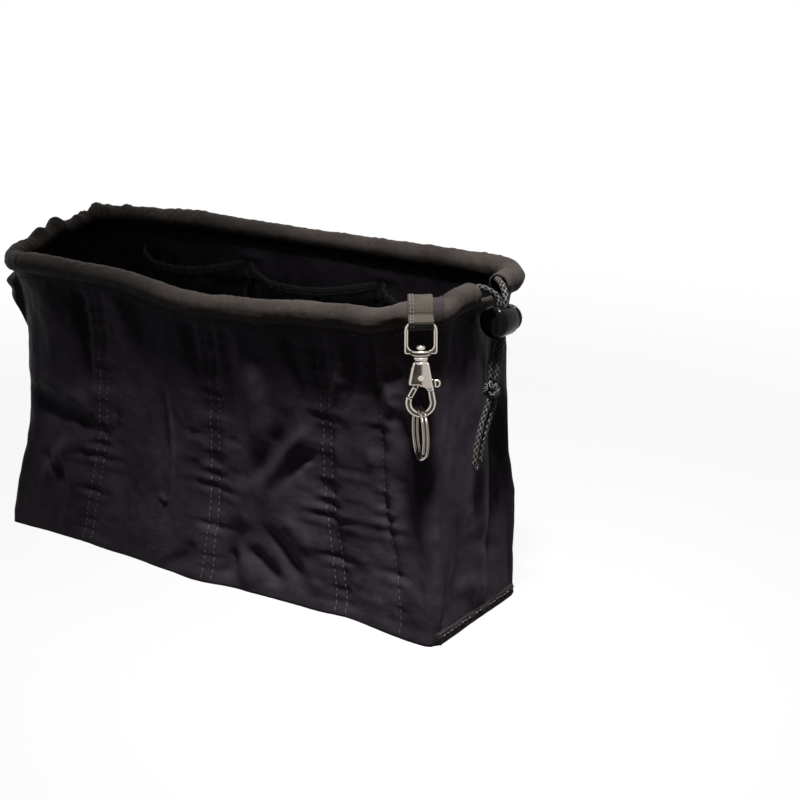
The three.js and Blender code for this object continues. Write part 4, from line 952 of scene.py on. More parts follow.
# How far the walls run up under the casing, and the columns of their mesh on each side and its rows
SHELL_TUCK = 1.5
SHELL_COLUMNS = (270, 84, 240, 84)
SHELL_ROWS = 122
SKIN_RADIUS = 5.85
SKIN_THINNING = 0.6
SKIN_OVER_BORE = 0.4
SKIN_RINGS = 1150
SKIN_SIDES = 56
# Pockets: how far their edges sag, how many times their width they are gathered and how deep they may be
POCKET_SAG = 4.0
POCKET_DEPTH_SHARE = 0.35
POCKET_STEP = 0.9
POCKET_ROWS = 84
PLEAT_STRETCH = 1.25
SEAM_ROOM = 2.2
ELASTIC_STEP = 0.5
ELASTIC_SIDES = 22
# Stitches: length and gap along the seams, and their distance from the walls' top and foot
SEAM_STITCH = (2.7, 0.7)
CASING_STITCH_DROP = 2.2
BINDING_STITCH_HEIGHT = 4.4
FLOOR_LEVEL = 1.0
FLOOR_END_SHARE = 0.004
SEAM_ANGLE = math.radians(-58)
GATHER_SHARES = (2.78, 2.97, 3.3, 3.6)
GATHER_ROWS = [
    (0, 0.4), (0.1, 0.22), (0.25, 0.12), (0.5, 0.18), (0.8, 0.12), (1, 0.16), (1.3, 0.3), (1.6, 0.5),
    (1.75, 0.5), (2, 0.3), (2.3, 0.18), (2.6, 0.16), (2.85, 0.3), (2.95, 0.8), (3.3, 0.8),
    (3.6, 0.6), (3.85, 0.45), (4, 0.4),
]
# Single lumps and notches of the casing: station, half width as a share of the side, and height
CASING_LUMPS = [
    (3.30, 0.05, 1.5), (3.205, 0.022, -2.4), (3.13, 0.05, 0.9), (3.065, 0.014, -1.6), (3.02, 0.035, 1.8),
    (2.955, 0.012, -1.2), (3.42, 0.03, -1.2), (3.7, 0.04, 0.7),
]
THIN_ROWS = [(0, 1), (0.25, 0.8), (0.5, 0.3), (0.8, 0), (2.2, 0), (2.6, 0.7), (3, 0.6), (3.6, 1), (4, 1)]
# How dark the painted shade on the casing's underside is, round the bag
UNDERSIDE_ROWS = [
    (0, 0.95), (0.3, 0.9), (0.5, 0.8), (0.75, 0.6), (0.9, 0.4), (1.1, 0.3), (1.4, 0.3), (1.7, 0.4),
    (2, 0.6), (2.4, 0.85), (3, 0.95), (4, 0.95),
]


def slab(front, back):
    """Closed sheet between two grids of points of the same size: its points and faces."""
    rows, columns = front.shape[:2]
    count = rows * columns
    faces = grid(rows, columns)
    flipped = faces[:, ::-1] + count
    edge = [r * columns for r in range(rows)] + [(rows - 1) * columns + c for c in range(1, columns)]
    edge += [r * columns + columns - 1 for r in range(rows - 2, -1, -1)]
    edge += list(range(columns - 2, 0, -1))
    rim = [[a, a + count, b + count, b] for a, b in zip(edge, edge[1:] + edge[:1])]
    return np.vstack([front.reshape(-1, 3), back.reshape(-1, 3)]), np.vstack([faces, flipped, rim])


def add_slab(name, front, back, us, vs, surface, replaces):
    """Slab piece whose UV map is given at each point of its grid."""
    places, faces = slab(front, back)
    flat = np.stack([us, vs], -1).reshape(-1, 2)
    uv = np.vstack([flat, flat])[faces.reshape(-1)]
    return facing_out(piece(name, places, faces, surface, "bag", replaces, uv, sharp=60))


def add_shell():
    """The four walls, as one skin that runs up under the casing."""
    stations = [side + np.arange(count) / count for side, count in enumerate(SHELL_COLUMNS)]
    stations = np.concatenate(stations)
    top = wall_top(stations) + SHELL_TUCK
    heights = np.linspace(0, 1, SHELL_ROWS)[:, None] * top[None]
    faces_at = []
    for depth in (0, WALL):
        points, _ = wall_point(stations[None], heights, depth)
        faces_at.append(points)
    rows, columns = heights.shape
    points = np.vstack([faces_at[0], faces_at[1][::-1]])
    quads = grid(2 * rows, columns, wrap_rows=True, wrap_columns=True)
    middle = plan(stations, 0.5)[0]
    girth = np.concatenate([[0], np.cumsum(np.linalg.norm(np.roll(middle, -1, 0) - middle, axis=1))])
    v = np.concatenate([heights[:, 0], heights[::-1, 0], heights[:1, 0]])
    uv = grid_uv(*np.meshgrid(girth, v))
    made = piece("bag_shell", points.reshape(-1, 3), quads, NYLON, "bag",
                 ("front_panel", "right_end_panel", "back_panel", "left_end_panel"), uv)
    facing_out(made)
    # Painted shade: the walls' inner layer is marked to be darkened, for the shade inside the bag.
    point_values(made, "inside", np.repeat([0.0, 1.0], rows * columns))


def add_floor_cloth():
    share = np.linspace(FLOOR_END_SHARE, 1 - FLOOR_END_SHARE, 110)
    front, rear = (
        wall_point(station, FLOOR_LEVEL, WALL / 2)[0][..., :2] for station in (share, 3 - share))
    across = np.linspace(0, 1, 36)[:, None, None]
    place = lerp(front[None], rear[None], across)
    spot = np.concatenate([place, np.zeros((*place.shape[:2], 1))], -1)
    wave = 0.5 * noise(spot, (26, 19, 9), 21) + 0.22 * noise(spot, (6, 6, 6), 22)
    inside = np.minimum(across[..., 0], 1 - across[..., 0]) * 8
    wave = (wave + 0.5) * np.clip(inside, 0, 1)
    low, high = spot.copy(), spot.copy()
    low[..., 2] = 0.1 + 0.3 * wave
    high[..., 2] = 0.1 + WALL + wave
    add_slab("base_cloth", low, high, place[..., 0], place[..., 1], NYLON, ("bottom_panel",))


def add_binding(name, side, node_name):
    """Tape folded over the seam along an end's foot, a little crushed."""
    stations = side + np.linspace(0.0, 1.0, 150).clip(1e-6, 1 - 1e-6)
    turn = round_turn(26)
    across = np.sign(np.cos(turn)) * np.abs(np.cos(turn)) ** 0.6
    up = np.sign(np.sin(turn)) * np.abs(np.sin(turn)) ** 0.6
    stations, _ = np.meshgrid(stations, turn, indexing="ij")
    place, normal = plan(stations, 0.01)
    height = BINDING_HEIGHT / 2 * (1 + up)[None] * np.ones(stations.shape)
    spot = np.concatenate([place, height[..., None]], -1)
    rough = 0.55 * noise(spot, (3.2, 3.2, 4), 31) + 0.3 * noise(spot, (1.5, 1.5, 1.5), 32)
    lump = 1.5 * np.exp(-((stations - side - 0.12) / 0.035) ** 2)
    depth = 1.5 - (2.1 + rough + lump * (across > 0)) * across[None]
    height = height * (1 + 0.08 * noise(spot, (7, 7, 30), 33)) + 0.15
    place = place - normal * depth[..., None]
    points = np.concatenate([place, height[..., None]], -1)
    closed_grid(name, points, BINDING, "bag", (node_name,), caps=True)


def rim_line(count):
    """Even stations round the rim from the casing's front mouth to its rear one, with their distances."""
    path = np.linspace(0, CASING_START + 4 - CASING_END, 1600)
    stations = (CASING_START - path) % 4
    points = rim_frames(stations)[0]
    lengths = np.concatenate([[0], np.cumsum(np.linalg.norm(np.diff(points, axis=0), axis=1))])
    wanted = np.linspace(0, lengths[-1], count)
    return (CASING_START - np.interp(wanted, lengths, path)) % 4, wanted


def rim_frames(stations):
    place, normal = plan(stations, 1.0)
    flat = np.zeros((*normal.shape[:-1], 1))
    return np.concatenate([place, rim_z(stations)[..., None]], -1), np.concatenate([normal, flat], -1)


def gathered(station):
    """How strongly the casing is gathered at a station."""
    return table_at(GATHER_ROWS, station)


def casing_radius(station, along, angle):
    """Radius of the casing's skin: puffs with sharp creases between them where the cord gathers it."""
    strength = gathered(station)
    pull = np.exp(-np.min([(station - at) ** 2 for at in GATHER_SHARES], axis=0) / 0.06 ** 2)
    calm = np.exp(-((station - TAB_STATION) / 0.045) ** 4)
    spot = np.stack([along, angle * CASING_RADIUS, 0 * angle], -1)
    puffs = np.abs(noise(spot + noise(spot, (9, 9, 9), 45)[..., None], (4.6, 17, 1), 41)) - 0.26
    small = np.abs(noise(spot, (2.1, 8, 1), 42)) - 0.26
    swell = 0.35 * noise(spot, (15, 26, 1), 43) + 0.12 * noise(spot, (3.2, 3.2, 1), 44)
    top = 0.35 + 0.65 * smooth((np.sin(angle) + 0.6) / 1.2)
    folds = strength * top * (3.3 * puffs + 1.2 * small) + 1.5 * pull * top
    seam = np.exp(-((angle - SEAM_ANGLE + np.pi) % (2 * np.pi) - np.pi) ** 2 / 0.012)
    lumps = sum(rise * np.exp(-((station - at) / half) ** 2) for at, half, rise in CASING_LUMPS)
    plain = SKIN_RADIUS - SKIN_THINNING * table_at(THIN_ROWS, station)
    found = plain + (folds + swell + lumps * top - 0.45 * seam) * (1 - 0.85 * calm)
    return np.maximum(found, CASING_BORE + SKIN_OVER_BORE)


def add_casing():
    stations, along = rim_line(SKIN_RINGS)
    angle = round_turn(SKIN_SIDES)
    station_grid, angle_grid = np.meshgrid(stations, angle, indexing="ij")
    along_grid = np.broadcast_to(along[:, None], station_grid.shape)
    centre, outward = rim_frames(stations)
    outer = casing_radius(station_grid, along_grid, angle_grid)
    rest = np.minimum(along_grid, along[-1] - along_grid)
    outer = lerp(CASING_BORE + 0.7, outer, np.sqrt(np.clip(rest / 1.2, 0, 1)))
    inner = np.full(outer.shape, CASING_BORE) - 0.2 * np.sqrt(np.clip(1 - rest / 2, 0, 1))

    def skin(radius):
        across = radius * np.cos(angle_grid)
        up = radius * np.sin(angle_grid)
        return centre[:, None] + outward[:, None] * across[..., None] + UPWARD * up[..., None]

    points = np.vstack([skin(outer), skin(inner)[::-1]])
    quads = grid(2 * SKIN_RINGS, SKIN_SIDES, wrap_rows=True, wrap_columns=True)
    u = np.arange(SKIN_SIDES + 1) * 2 * np.pi * CASING_RADIUS / SKIN_SIDES
    v = np.concatenate([along, along[::-1] + 2, [0]])
    uv = grid_uv(*np.meshgrid(u, v))
    made = piece("rim_casing_skin", points.reshape(-1, 3), quads, CASING, "bag",
                 ("rim_casing",), uv)
    facing_out(made)
    # Painted shade: the casing's lower half, where shade falls under it, and its whole inner skin are
    # darkened.
    under = 1 - smooth((np.sin(angle_grid) + 0.15) / 0.6)
    under = under * table_at(UNDERSIDE_ROWS, station_grid)
    point_values(made, "inside", np.vstack([under, np.ones(under.shape)]))
    rise = CASING_BORE * math.cos(math.pi / 8) - CORD_RADIUS - CLEARANCE
    line, _ = rim_frames(rim_line(1500)[0])
    line[:, 2] += rise
    angle = round_turn(INNER_CORD_SIDES)
    high, pale = braid_shape(angle[None], along_line(line)[:, None])
    tube = tube_points(line, CORD_RADIUS - YARN_RISE * (1 - high), INNER_CORD_SIDES)
    cord = closed_grid("drawcord_in_casing", tube, CORD, "bag", ("drawcord",), caps=True)
    point_values(cord, "yarn", pale)


def along_line(line):
    return np.concatenate([[0], np.cumsum(np.linalg.norm(np.diff(line, axis=0), axis=1))])


def add_mouth_hem():
    """Rolled hem on the wall's top between the casing's mouths."""
    stations = np.linspace(CASING_START - 0.03, CASING_END + 0.03, 60)
    centre, outward = rim_frames(stations)
    centre[:, 2] += -CASING_RADIUS + 0.6
    centre = centre - outward * 0.7
    angle = round_turn(18)
    spot = centre[:, None] + np.stack([0 * angle, 3 * np.cos(angle), 3 * np.sin(angle)], -1)
    radius = 1.45 + 0.3 * noise(spot, (3, 3, 3), 51)
    points = centre[:, None] + radius[..., None] * (
        outward[:, None] * np.cos(angle)[None, :, None] + UPWARD * np.sin(angle)[None, :, None])
    closed_grid("mouth_hem", points, CASING, "bag", caps=True)


def pocket_point(side, low_share, high_share, depth, share, z):
    """Place of a pocket's cloth, and its outward normal in plan."""
    station = side + lerp(low_share, high_share, share)
    arch = 1 - np.abs(2 * share - 1) ** 2.4
    base, normal = wall_point(station, z, WALL, 1 - 0.7 * arch)
    flat = np.round(normal)
    off = CLEARANCE + ELASTIC_THICKNESS + depth * arch
    return base - np.concatenate([flat, np.zeros((*flat.shape[:-1], 1))], -1) * off[..., None], flat


def flat_normals(points, flat):
    """Normals in plan of a grid of points, on the side that a rough normal gives."""
    along = np.gradient(points[..., :2], axis=1)
    along = along / np.maximum(np.linalg.norm(along, axis=-1), 1e-9)[..., None]
    normal = np.stack([along[..., 1], -along[..., 0]], -1)
    sign = np.sign((normal * flat).sum(-1))[..., None]
    return np.concatenate([normal * np.where(sign == 0, 1, sign), np.zeros((*normal.shape[:-1], 1))], -1)


def sag(share):
    """How far a pocket's edge hangs down at a share of its width."""
    return POCKET_SAG * (1 - (2 * share - 1) ** 2)


def add_pocket(name, side, low_share, high_share, depth, drop, seed):
    """Gathered pocket with an elastic top."""
    foot = WALL + CLEARANCE
    top = RIM_HEIGHT - drop
    length = (high_share - low_share) * (BAG_LENGTH if side % 2 == 0 else RIM_DEPTH)
    columns = max(int(length / POCKET_STEP), 24)
    share, z = np.meshgrid(np.linspace(0, 1, columns), np.linspace(foot, top + 0.4, POCKET_ROWS))
    z = z - sag(share) * (z - foot) / (top - foot)
    base, flat = pocket_point(side, low_share, high_share, depth, share, z)
    normal = flat_normals(base, flat)
    spot = np.stack([share * length * PLEAT_STRETCH, z, 0 * z], -1)
    near_top = smooth((z - top + 60) / 60) ** 2
    bent = spot + 1.5 * noise(spot, (12, 22, 1), seed + 3)[..., None]
    pleats = np.abs(noise(bent, (4.4, 80, 1), seed)) - 0.28
    soft = noise(spot, (16, 28, 1), seed + 1) + 0.45 * noise(spot, (6, 9, 1), seed + 2)
    edge = smooth(np.minimum(share, 1 - share) * length / 7)
    off = edge * (-(0.7 + 2.3 * near_top) * pleats + 1.1 * soft * (1 - near_top))
    middle = base + normal * off[..., None]
    normal = flat_normals(middle, flat)
    outer, inner = middle + normal * POCKET_THICKNESS / 2, middle - normal * POCKET_THICKNESS / 2
    made = add_slab(f"{name}_pocket_cloth", outer, inner, spot[..., 0], z, LINING,
                    (f"{name}_pocket",))
    add_elastic(name, side, low_share, high_share, depth, top, length, seed)


def add_elastic(name, side, low_share, high_share, depth, top, length, seed):
    columns = int(length / ELASTIC_STEP)
    share = np.linspace(0, 1, columns)[None]
    z = top + CLEARANCE + ELASTIC_HEIGHT / 2 - sag(share)
    base, flat = pocket_point(side, low_share, high_share, depth, share, z)
    normal = flat_normals(base, flat)
    reach = share * length * PLEAT_STRETCH
    frill = 0.85 * noise(np.stack([reach, 0 * z, 0 * z], -1), (2.3, 1, 1), seed + 7)
    frill = frill * smooth(np.minimum(share, 1 - share) * length / 4)
    base = (base + normal * frill[..., None])[0]
    normal = flat_normals(base[None], flat)[0]
    angle = round_turn(ELASTIC_SIDES)
    across = np.sign(np.cos(angle)) * np.abs(np.cos(angle)) ** 0.7 * ELASTIC_THICKNESS / 2
    up = np.sign(np.sin(angle)) * np.abs(np.sin(angle)) ** 0.8 * (ELASTIC_HEIGHT / 2 + 0.2)
    spot = np.stack(np.broadcast_arrays(reach[0][:, None], up[None], across[None]), -1)
    ruffle = np.abs(noise(spot, (1.5, 9, 9), seed + 8)) - 0.25
    grown = 1 + 0.5 * ruffle
    points = base[:, None] + normal[:, None] * (across[None] * grown)[..., None]
    points[..., 2] += up[None] * (1 + 0.1 * noise(spot, (1.3, 30, 30), seed + 9))
    closed_grid(f"{name}_elastic_band", points, ELASTIC, "bag", (f"{name}_elastic",),
                caps=True)


def add_pockets():
    edge = SEAM_ROOM / BAG_LENGTH
    front = [POCKET_START_SHARE, *FRONT_STITCH_SHARES, POCKET_END_SHARE]
    back = [1 - at for at in (POCKET_END_SHARE, *BACK_STITCH_SHARES[::-1], POCKET_START_SHARE)]
    names = ["front_left", "front_centre_left", "front_centre_right", "front_narrow", "front_right"]
    for k, name in enumerate(names):
        low, high = front[k] + edge, front[k + 1] - edge
        depth = min(FRONT_POCKET["depth"], (high - low) * BAG_LENGTH * POCKET_DEPTH_SHARE)
        add_pocket(name, 0, low, high, depth, FRONT_POCKET["drop"], 100 + 20 * k)
    for k, name in enumerate(["back_right", "back_middle", "back_left"]):
        add_pocket(name, 2, back[k] + edge, back[k + 1] - edge, BACK_POCKET["depth"], BACK_POCKET["drop"],
                   300 + 20 * k)
    add_pocket("left_end", 3, *END_POCKET_SHARES, END_POCKET["depth"], END_POCKET["drop"], 400)


def stitch_mesh(name, rows, length, gap, radius, slot="nylon"):
    """Sewing thread along lines of points: short round stitches half sunk into the cloth."""
    sides, steps = 8, 7
    angle = round_turn(sides)
    t = np.linspace(0, 1, steps)
    places, faces = [], []
    count = 0
    quads = grid(steps, sides, wrap_columns=True)
    for line, normals in rows:
        lengths = along_line(line)
        number = int(lengths[-1] // (length + gap))
        for k in range(number):
            at = gap / 2 + k * (length + gap) + t * length
            spine = np.stack([np.interp(at, lengths, line[:, i]) for i in range(3)], -1)
            up = np.array([np.interp(at[3], lengths, normals[:, i]) for i in range(3)])
            up /= max(np.linalg.norm(up), 1e-9)
            arch = np.sin(np.pi * t)
            spine = spine + up * (radius * (1.1 * arch - 0.75))[:, None]
            along = spine[-1] - spine[0]
            along /= max(np.linalg.norm(along), 1e-9)
            side = np.cross(along, up)
            girth = radius * (0.35 + 0.65 * arch ** 0.4)
            ring = spine[:, None] + girth[:, None, None] * (
                side[None, None] * np.cos(angle)[None, :, None]
                + up[None, None] * np.sin(angle)[None, :, None])
            places.append(ring.reshape(-1, 3))
            faces += [[count + i for i in f] for f in quads.tolist()]
            last = count + (steps - 1) * sides
            faces += [[count + i for i in range(sides)], [last + i for i in range(sides)][::-1]]
            count += steps * sides
    return facing_out(piece(name, np.vstack(places), faces, THREAD, "bag"))


def wall_line(stations, z):
    points, normal = wall_point(stations, z)
    return points, np.concatenate([normal, np.zeros((len(normal), 1))], -1)


def add_stitches():
    rows = []
    for side in (0, 2):
        for at in seam_places(side):
            z = np.linspace(1.5, 150, 150)
            station = np.full(z.shape, side + at)
            z = z * (wall_top(station) / 151)
            spot = np.stack([z, z * 0, z * 0], -1)
            station = station + 0.0006 * noise(spot, (9, 1, 1), 60 + int(100 * at))
            rows.append(wall_line(station, z))
    stitch_mesh("seam_stitches", rows, *SEAM_STITCH, 0.24)
    stations = np.linspace(0, 4 - 1e-6, 1500)
    rows = [wall_line(stations, wall_top(stations) - CASING_STITCH_DROP)]
    stitch_mesh("casing_stitches", rows, *SEAM_STITCH, 0.22)
    rows = []
    for side in (1, 3):
        stations = side + np.linspace(0.04, 0.96, 160)
        place, normal = plan(stations, 0.01)
        full = np.concatenate([normal, np.zeros((160, 1))], -1)
        wave = noise(np.stack([stations * 90, 0 * stations, 0 * stations], -1), (3, 1, 1), 71)
        z = BINDING_STITCH_HEIGHT + 0.3 * wave
        rows.append((np.concatenate([place, z[:, None]], -1) + full * 0.62, full))
    stitch_mesh("binding_stitches", rows, 2.4, 0.9, 0.26, slot="casing_nylon")


# Tab and band

def station_at_turn(degrees):
    share = np.where(np.asarray(degrees) < 45, LONG_CORNER_SHARE, END_CORNER_SHARE)
    return 1 + share * (np.asarray(degrees) / 45 - 1)


TAB_STATION = float(station_at_turn(50.0))
STRIP_INNER = CASING_RADIUS + CLEARANCE
STRIP_MIDDLE = STRIP_INNER + TAB_THICKNESS / 2
BAR_ACROSS = STRIP_INNER + TAB_THICKNESS + TAB_LOOP
LOOP_MIDDLE = TAB_LOOP + TAB_THICKNESS / 2
OVERLAP_RADIUS = STRIP_MIDDLE + TAB_THICKNESS + CLEARANCE
STRIP_EDGE_SHARE = 0.35
TAB_STITCH_HEIGHT = 0.66
TAB_STITCH_PLACES = (1.0, 2.3)
BAND_WIDTH = 5
BAND_THICKNESS = 0.9
BAND_STITCH_HEIGHT = 0.55
BAND_STITCH_SHARES = (0.2, 0.36, 0.52, 0.68, 0.84)


def arc(x, y, radius, start, end, steps):
    angle = np.radians(np.linspace(start, end, steps))
    return [(x + radius * np.cos(a), y + radius * np.sin(a)) for a in angle]


def swept_on_rim(distances, profile, flatness):
    """Points of a profile, across and up from the rim's line, at distances along the rim from the tab."""
    middle, outward = rim_frames(station_at_turn(np.array([TAB_TURN])))
    middle, outward = middle[0], outward[0]
    tangent = np.array([-outward[1], outward[0], 0])
    across, up = profile[..., 0], profile[..., 1]
    turned = TAB_TURN + np.degrees(np.asarray(distances)[:, None] / (FRONT_RIGHT_CORNER + across))
    centre, out = rim_frames(station_at_turn(turned))
    curved = centre + out * across[..., None]
    curved[..., 2] += up
    straight = middle + outward * across[..., None] + tangent * np.asarray(distances)[:, None, None]
    straight[..., 2] += up
    return lerp(curved, straight, flatness * smooth(across / CASING_RADIUS)[..., None])


def add_strip(name, route, distances, thickness, surface, node_name, flatness, seed):
    """Tape of even thickness along a route in the rim's section, swept along the rim."""
    flat = np.concatenate([np.asarray(route, float), np.zeros((len(route), 1))], -1)
    line, along = catmull(flat, 0.28)
    line = line[:, :2]
    ahead = np.gradient(line, axis=0)
    ahead /= np.linalg.norm(ahead, axis=1)[:, None]
    square = np.stack([ahead[:, 1], -ahead[:, 0]], -1)
    count, width = len(distances), len(line)
    rest = np.minimum(distances - distances[0], distances[-1] - distances)
    half = thickness / 2 * (1 - STRIP_EDGE_SHARE * np.exp(-(rest / 0.5) ** 2))
    spot = np.stack(np.broadcast_arrays(distances[:, None], along[None], 0 * along[None]), -1)
    wave = 0.12 * noise(spot, (5, 6, 1), seed)
    rib = 0.05 * np.sin(2 * np.pi * along[None] / 0.9)
    outer, inner = (
        swept_on_rim(distances, line[None] + square[None] * height[..., None], flatness)
        for height in (half[:, None] + wave + rib, wave - half[:, None]))
    us, vs = np.meshgrid(along, distances)
    add_slab(name, outer, inner, us, vs, surface, (node_name,))
    return line, square


def sewn_row(line, square, height, place, flatness):
    """Points of a row of stitches at a distance along the rim, on a strip's route, and their normals."""
    points, further = (
        swept_on_rim(np.array([place]), (line + square * rise)[None], flatness)[0]
        for rise in (height, height + 1))
    return points, further - points


def add_tab():
    route = arc(0, 0, STRIP_MIDDLE, 205, 10, 26) + arc(BAR_ACROSS, -TAB_DROP, LOOP_MIDDLE, 180, 360, 14)
    route += [(BAR_ACROSS + LOOP_MIDDLE, -TAB_DROP + TAB_RETURN)] + arc(0, 0, OVERLAP_RADIUS, 14, 116, 18)
    distances = np.linspace(-TAB_WIDTH / 2, TAB_WIDTH / 2, 40)
    line, square = add_strip(
        "hook_tab", route, distances, TAB_THICKNESS, WEBBING, "clip_tab", 1, 81)
    outer = slice(int(len(line) * 0.56), -3)
    rows = [sewn_row(line[outer], square[outer], TAB_STITCH_HEIGHT, place - TAB_WIDTH / 2, 1)
            for place in TAB_STITCH_PLACES]
    stitch_mesh("tab_stitches", rows, 1.7, 0.45, 0.22, slot="webbing")


def add_band():
    start = TAB_WIDTH / 2 + CLEARANCE
    distances = np.linspace(start, start + BAND_WIDTH, 24)
    route = arc(0, 0, STRIP_INNER + BAND_THICKNESS / 2, 215, -35, 34)
    line, square = add_strip("casing_band_tape", route, distances, BAND_THICKNESS, BINDING,
                             "casing_band", 0, 82)
    places = lerp(distances[0], distances[-1], np.array(BAND_STITCH_SHARES))
    rows = [sewn_row(line[40:-8], square[40:-8], BAND_STITCH_HEIGHT, place, 0) for place in places]
    stitch_mesh("band_stitches", rows, 2.6, 0.35, 0.26, slot="casing_nylon")


# Hardware, made in its own frame in millimetres

# Bend of an edge, in 1/mm, from which its painted highlight starts and at which it is full, and how often
# the bends are evened out with their neighbours
HIGHLIGHT_FROM = 0.04
HIGHLIGHT_TO = 0.36
HIGHLIGHT_ROUNDS = 4
EDGE_STEPS = 4

CLIP_CENTRE = rim_frames(station_at_turn(np.array([TAB_TURN])))
CLIP_PLACE = CLIP_CENTRE[0][0] + CLIP_CENTRE[1][0] * BAR_ACROSS - np.array([0, 0, TAB_DROP])
CLIP = Matrix.Translation(Vector(CLIP_PLACE)) @ Matrix.Rotation(math.radians(TAB_TURN), 4, "Z")
LOCK_OFFSET = (9.76, 2, -12.9)
LOCK = (Matrix.Translation(Vector(RIM_END + np.array(LOCK_OFFSET)))
        @ Matrix.Rotation(math.radians(-3.3), 4, "X") @ Matrix.Rotation(math.radians(4.5), 4, "Y"))


def raw_object(mesh):
    made = bpy.data.objects.new(mesh.name, mesh)
    bpy.context.scene.collection.objects.link(made)
    return made


def plate(outlines, thickness, bevel):
    """Mesh of a plate with rounded edges: outlines in X and Z, the first one outside, centred on Y."""
    curve = bpy.data.curves.new("plate", "CURVE")
    curve.dimensions = "2D"
    curve.fill_mode = "BOTH"
    for outline_points in outlines:
        spline = curve.splines.new("POLY")
        spline.points.add(len(outline_points) - 1)
        for point, (x, z) in zip(spline.points, outline_points):
            point.co = (x, z, 0, 1)
        spline.use_cyclic_u = True
    curve.extrude = thickness / 2 - bevel
    curve.bevel_depth = bevel
    curve.bevel_resolution = EDGE_STEPS
    curve.offset = -bevel
    made = bpy.data.objects.new("plate", curve)
    bpy.context.scene.collection.objects.link(made)
    mesh = bpy.data.meshes.new_from_object(made.evaluated_get(bpy.context.evaluated_depsgraph_get()))
    bpy.data.objects.remove(made)
    mesh.transform(Matrix.Rotation(math.radians(90), 4, "X"))
    return mesh


def lathe(rows, sides=64, axis="Z"):
    """Closed mesh turned from (radius, height) rows that start and end on the axis."""
    angle = round_turn(sides)
    places = [(0, 0, rows[0][1])]
    for radius, height in rows[1:-1]:
        places += [(radius * math.cos(a), radius * math.sin(a), height) for a in angle]
    places.append((0, 0, rows[-1][1]))
    rings = len(rows) - 2
    faces = [[0, 1 + (k + 1) % sides, 1 + k] for k in range(sides)]
    faces += [[1 + i for i in f] for f in grid(rings, sides, wrap_columns=True)[:, ::-1].tolist()]
    last = len(places) - 1
    ring = 1 + (rings - 1) * sides
    faces += [[last, ring + k, ring + (k + 1) % sides] for k in range(sides)]
    mesh = bpy.data.meshes.new("lathe")
    mesh.from_pydata(places, [], faces)
    if axis == "Y":
        mesh.transform(Matrix.Rotation(math.radians(-90), 4, "X"))
    work = bmesh.new()
    work.from_mesh(mesh)
    bmesh.ops.recalc_face_normals(work, faces=work.faces)
    work.to_mesh(mesh)
    work.free()
    return mesh


def block(low, high):
    x0, y0, z0 = low
    x1, y1, z1 = high
    places = [(x, y, z) for x in (x0, x1) for y in (y0, y1) for z in (z0, z1)]
    faces = [(0, 1, 3, 2), (4, 6, 7, 5), (0, 4, 5, 1), (2, 3, 7, 6), (0, 2, 6, 4), (1, 5, 7, 3)]
    mesh = bpy.data.meshes.new("block")
    mesh.from_pydata(places, [], faces)
    return mesh


def with_modifiers(mesh, steps):
    made = raw_object(mesh)
    for kind, settings in steps:
        modifier = made.modifiers.new(kind.lower(), kind)
        for key, value in settings.items():
            setattr(modifier, key, value)
    result = bpy.data.meshes.new_from_object(made.evaluated_get(bpy.context.evaluated_depsgraph_get()))
    bpy.data.objects.remove(made)
    return result


def joined(meshes):
    work = bmesh.new()
    for mesh in meshes:
        work.from_mesh(mesh)
    result = bpy.data.meshes.new("joined")
    work.to_mesh(result)
    work.free()
    return result


def cut(mesh, cutters):
    for cutter in cutters:
        tool = raw_object(cutter)
        settings = {"operation": "DIFFERENCE", "solver": "EXACT", "object": tool}
        mesh = with_modifiers(mesh, [("BOOLEAN", settings)])
        bpy.data.objects.remove(tool)
    return mesh


def cast(meshes, cutters, voxel, rounds):
    """One cast body: the pieces fused, cut, and their edges rounded over."""
    fused = with_modifiers(joined(meshes), [("REMESH", {"mode": "VOXEL", "voxel_size": voxel})])
    cleared = cut(fused, cutters)
    return with_modifiers(cleared, [
        ("REMESH", {"mode": "VOXEL", "voxel_size": voxel}),
        ("SMOOTH", {"factor": 0.5, "iterations": rounds}),
    ])


def hardware(name, mesh, matrix, surface, body, replaces, sharp=None):
    mesh.transform(matrix)
    mesh.transform(Matrix.Scale(MM, 4))
    mesh.materials.clear()
    mesh.materials.append(surface)
    mesh.polygons.foreach_set("use_smooth", [True] * len(mesh.polygons))
    if sharp:
        mesh.set_sharp_from_angle(angle=math.radians(sharp))
    made = bpy.data.objects.new(name, mesh)
    made.data.name = name
    bpy.context.scene.collection.objects.link(made)
    carry(made, body, replaces)
    # Painted reflection: metal gets light colour on its edges and dark on its faces and in hollows.
    if surface in (NICKEL, STEEL):
        point_values(made, "painted_highlight", painted_edge_highlight(mesh))
    return made


def painted_edge_highlight(mesh):
    """Painted highlight of each point, from 0 in hollows and on faces to 1 on the sharpest edges."""
    count = len(mesh.vertices)
    spots, normals = np.empty(count * 3), np.empty(count * 3)
    mesh.vertices.foreach_get("co", spots)
    mesh.vertices.foreach_get("normal", normals)
    spots, normals = spots.reshape(-1, 3) / MM, normals.reshape(-1, 3)
    ends = np.empty(len(mesh.edges) * 2, int)
    mesh.edges.foreach_get("vertices", ends)
    first, second = np.concatenate([ends[::2], ends[1::2]]), np.concatenate([ends[1::2], ends[::2]])
    number = np.maximum(np.bincount(first, minlength=count), 1)

    def around(values):
        return np.bincount(first, values[second], count) / number

    step = spots[first] - spots[second]
    rise = (step * normals[first]).sum(1) / np.maximum((step ** 2).sum(1), 1e-9)
    bend = np.bincount(first, rise, count) / number
    for _ in range(HIGHLIGHT_ROUNDS):
        bend = (bend + around(bend)) / 2
    return smooth((bend - HIGHLIGHT_FROM) / (HIGHLIGHT_TO - HIGHLIGHT_FROM))


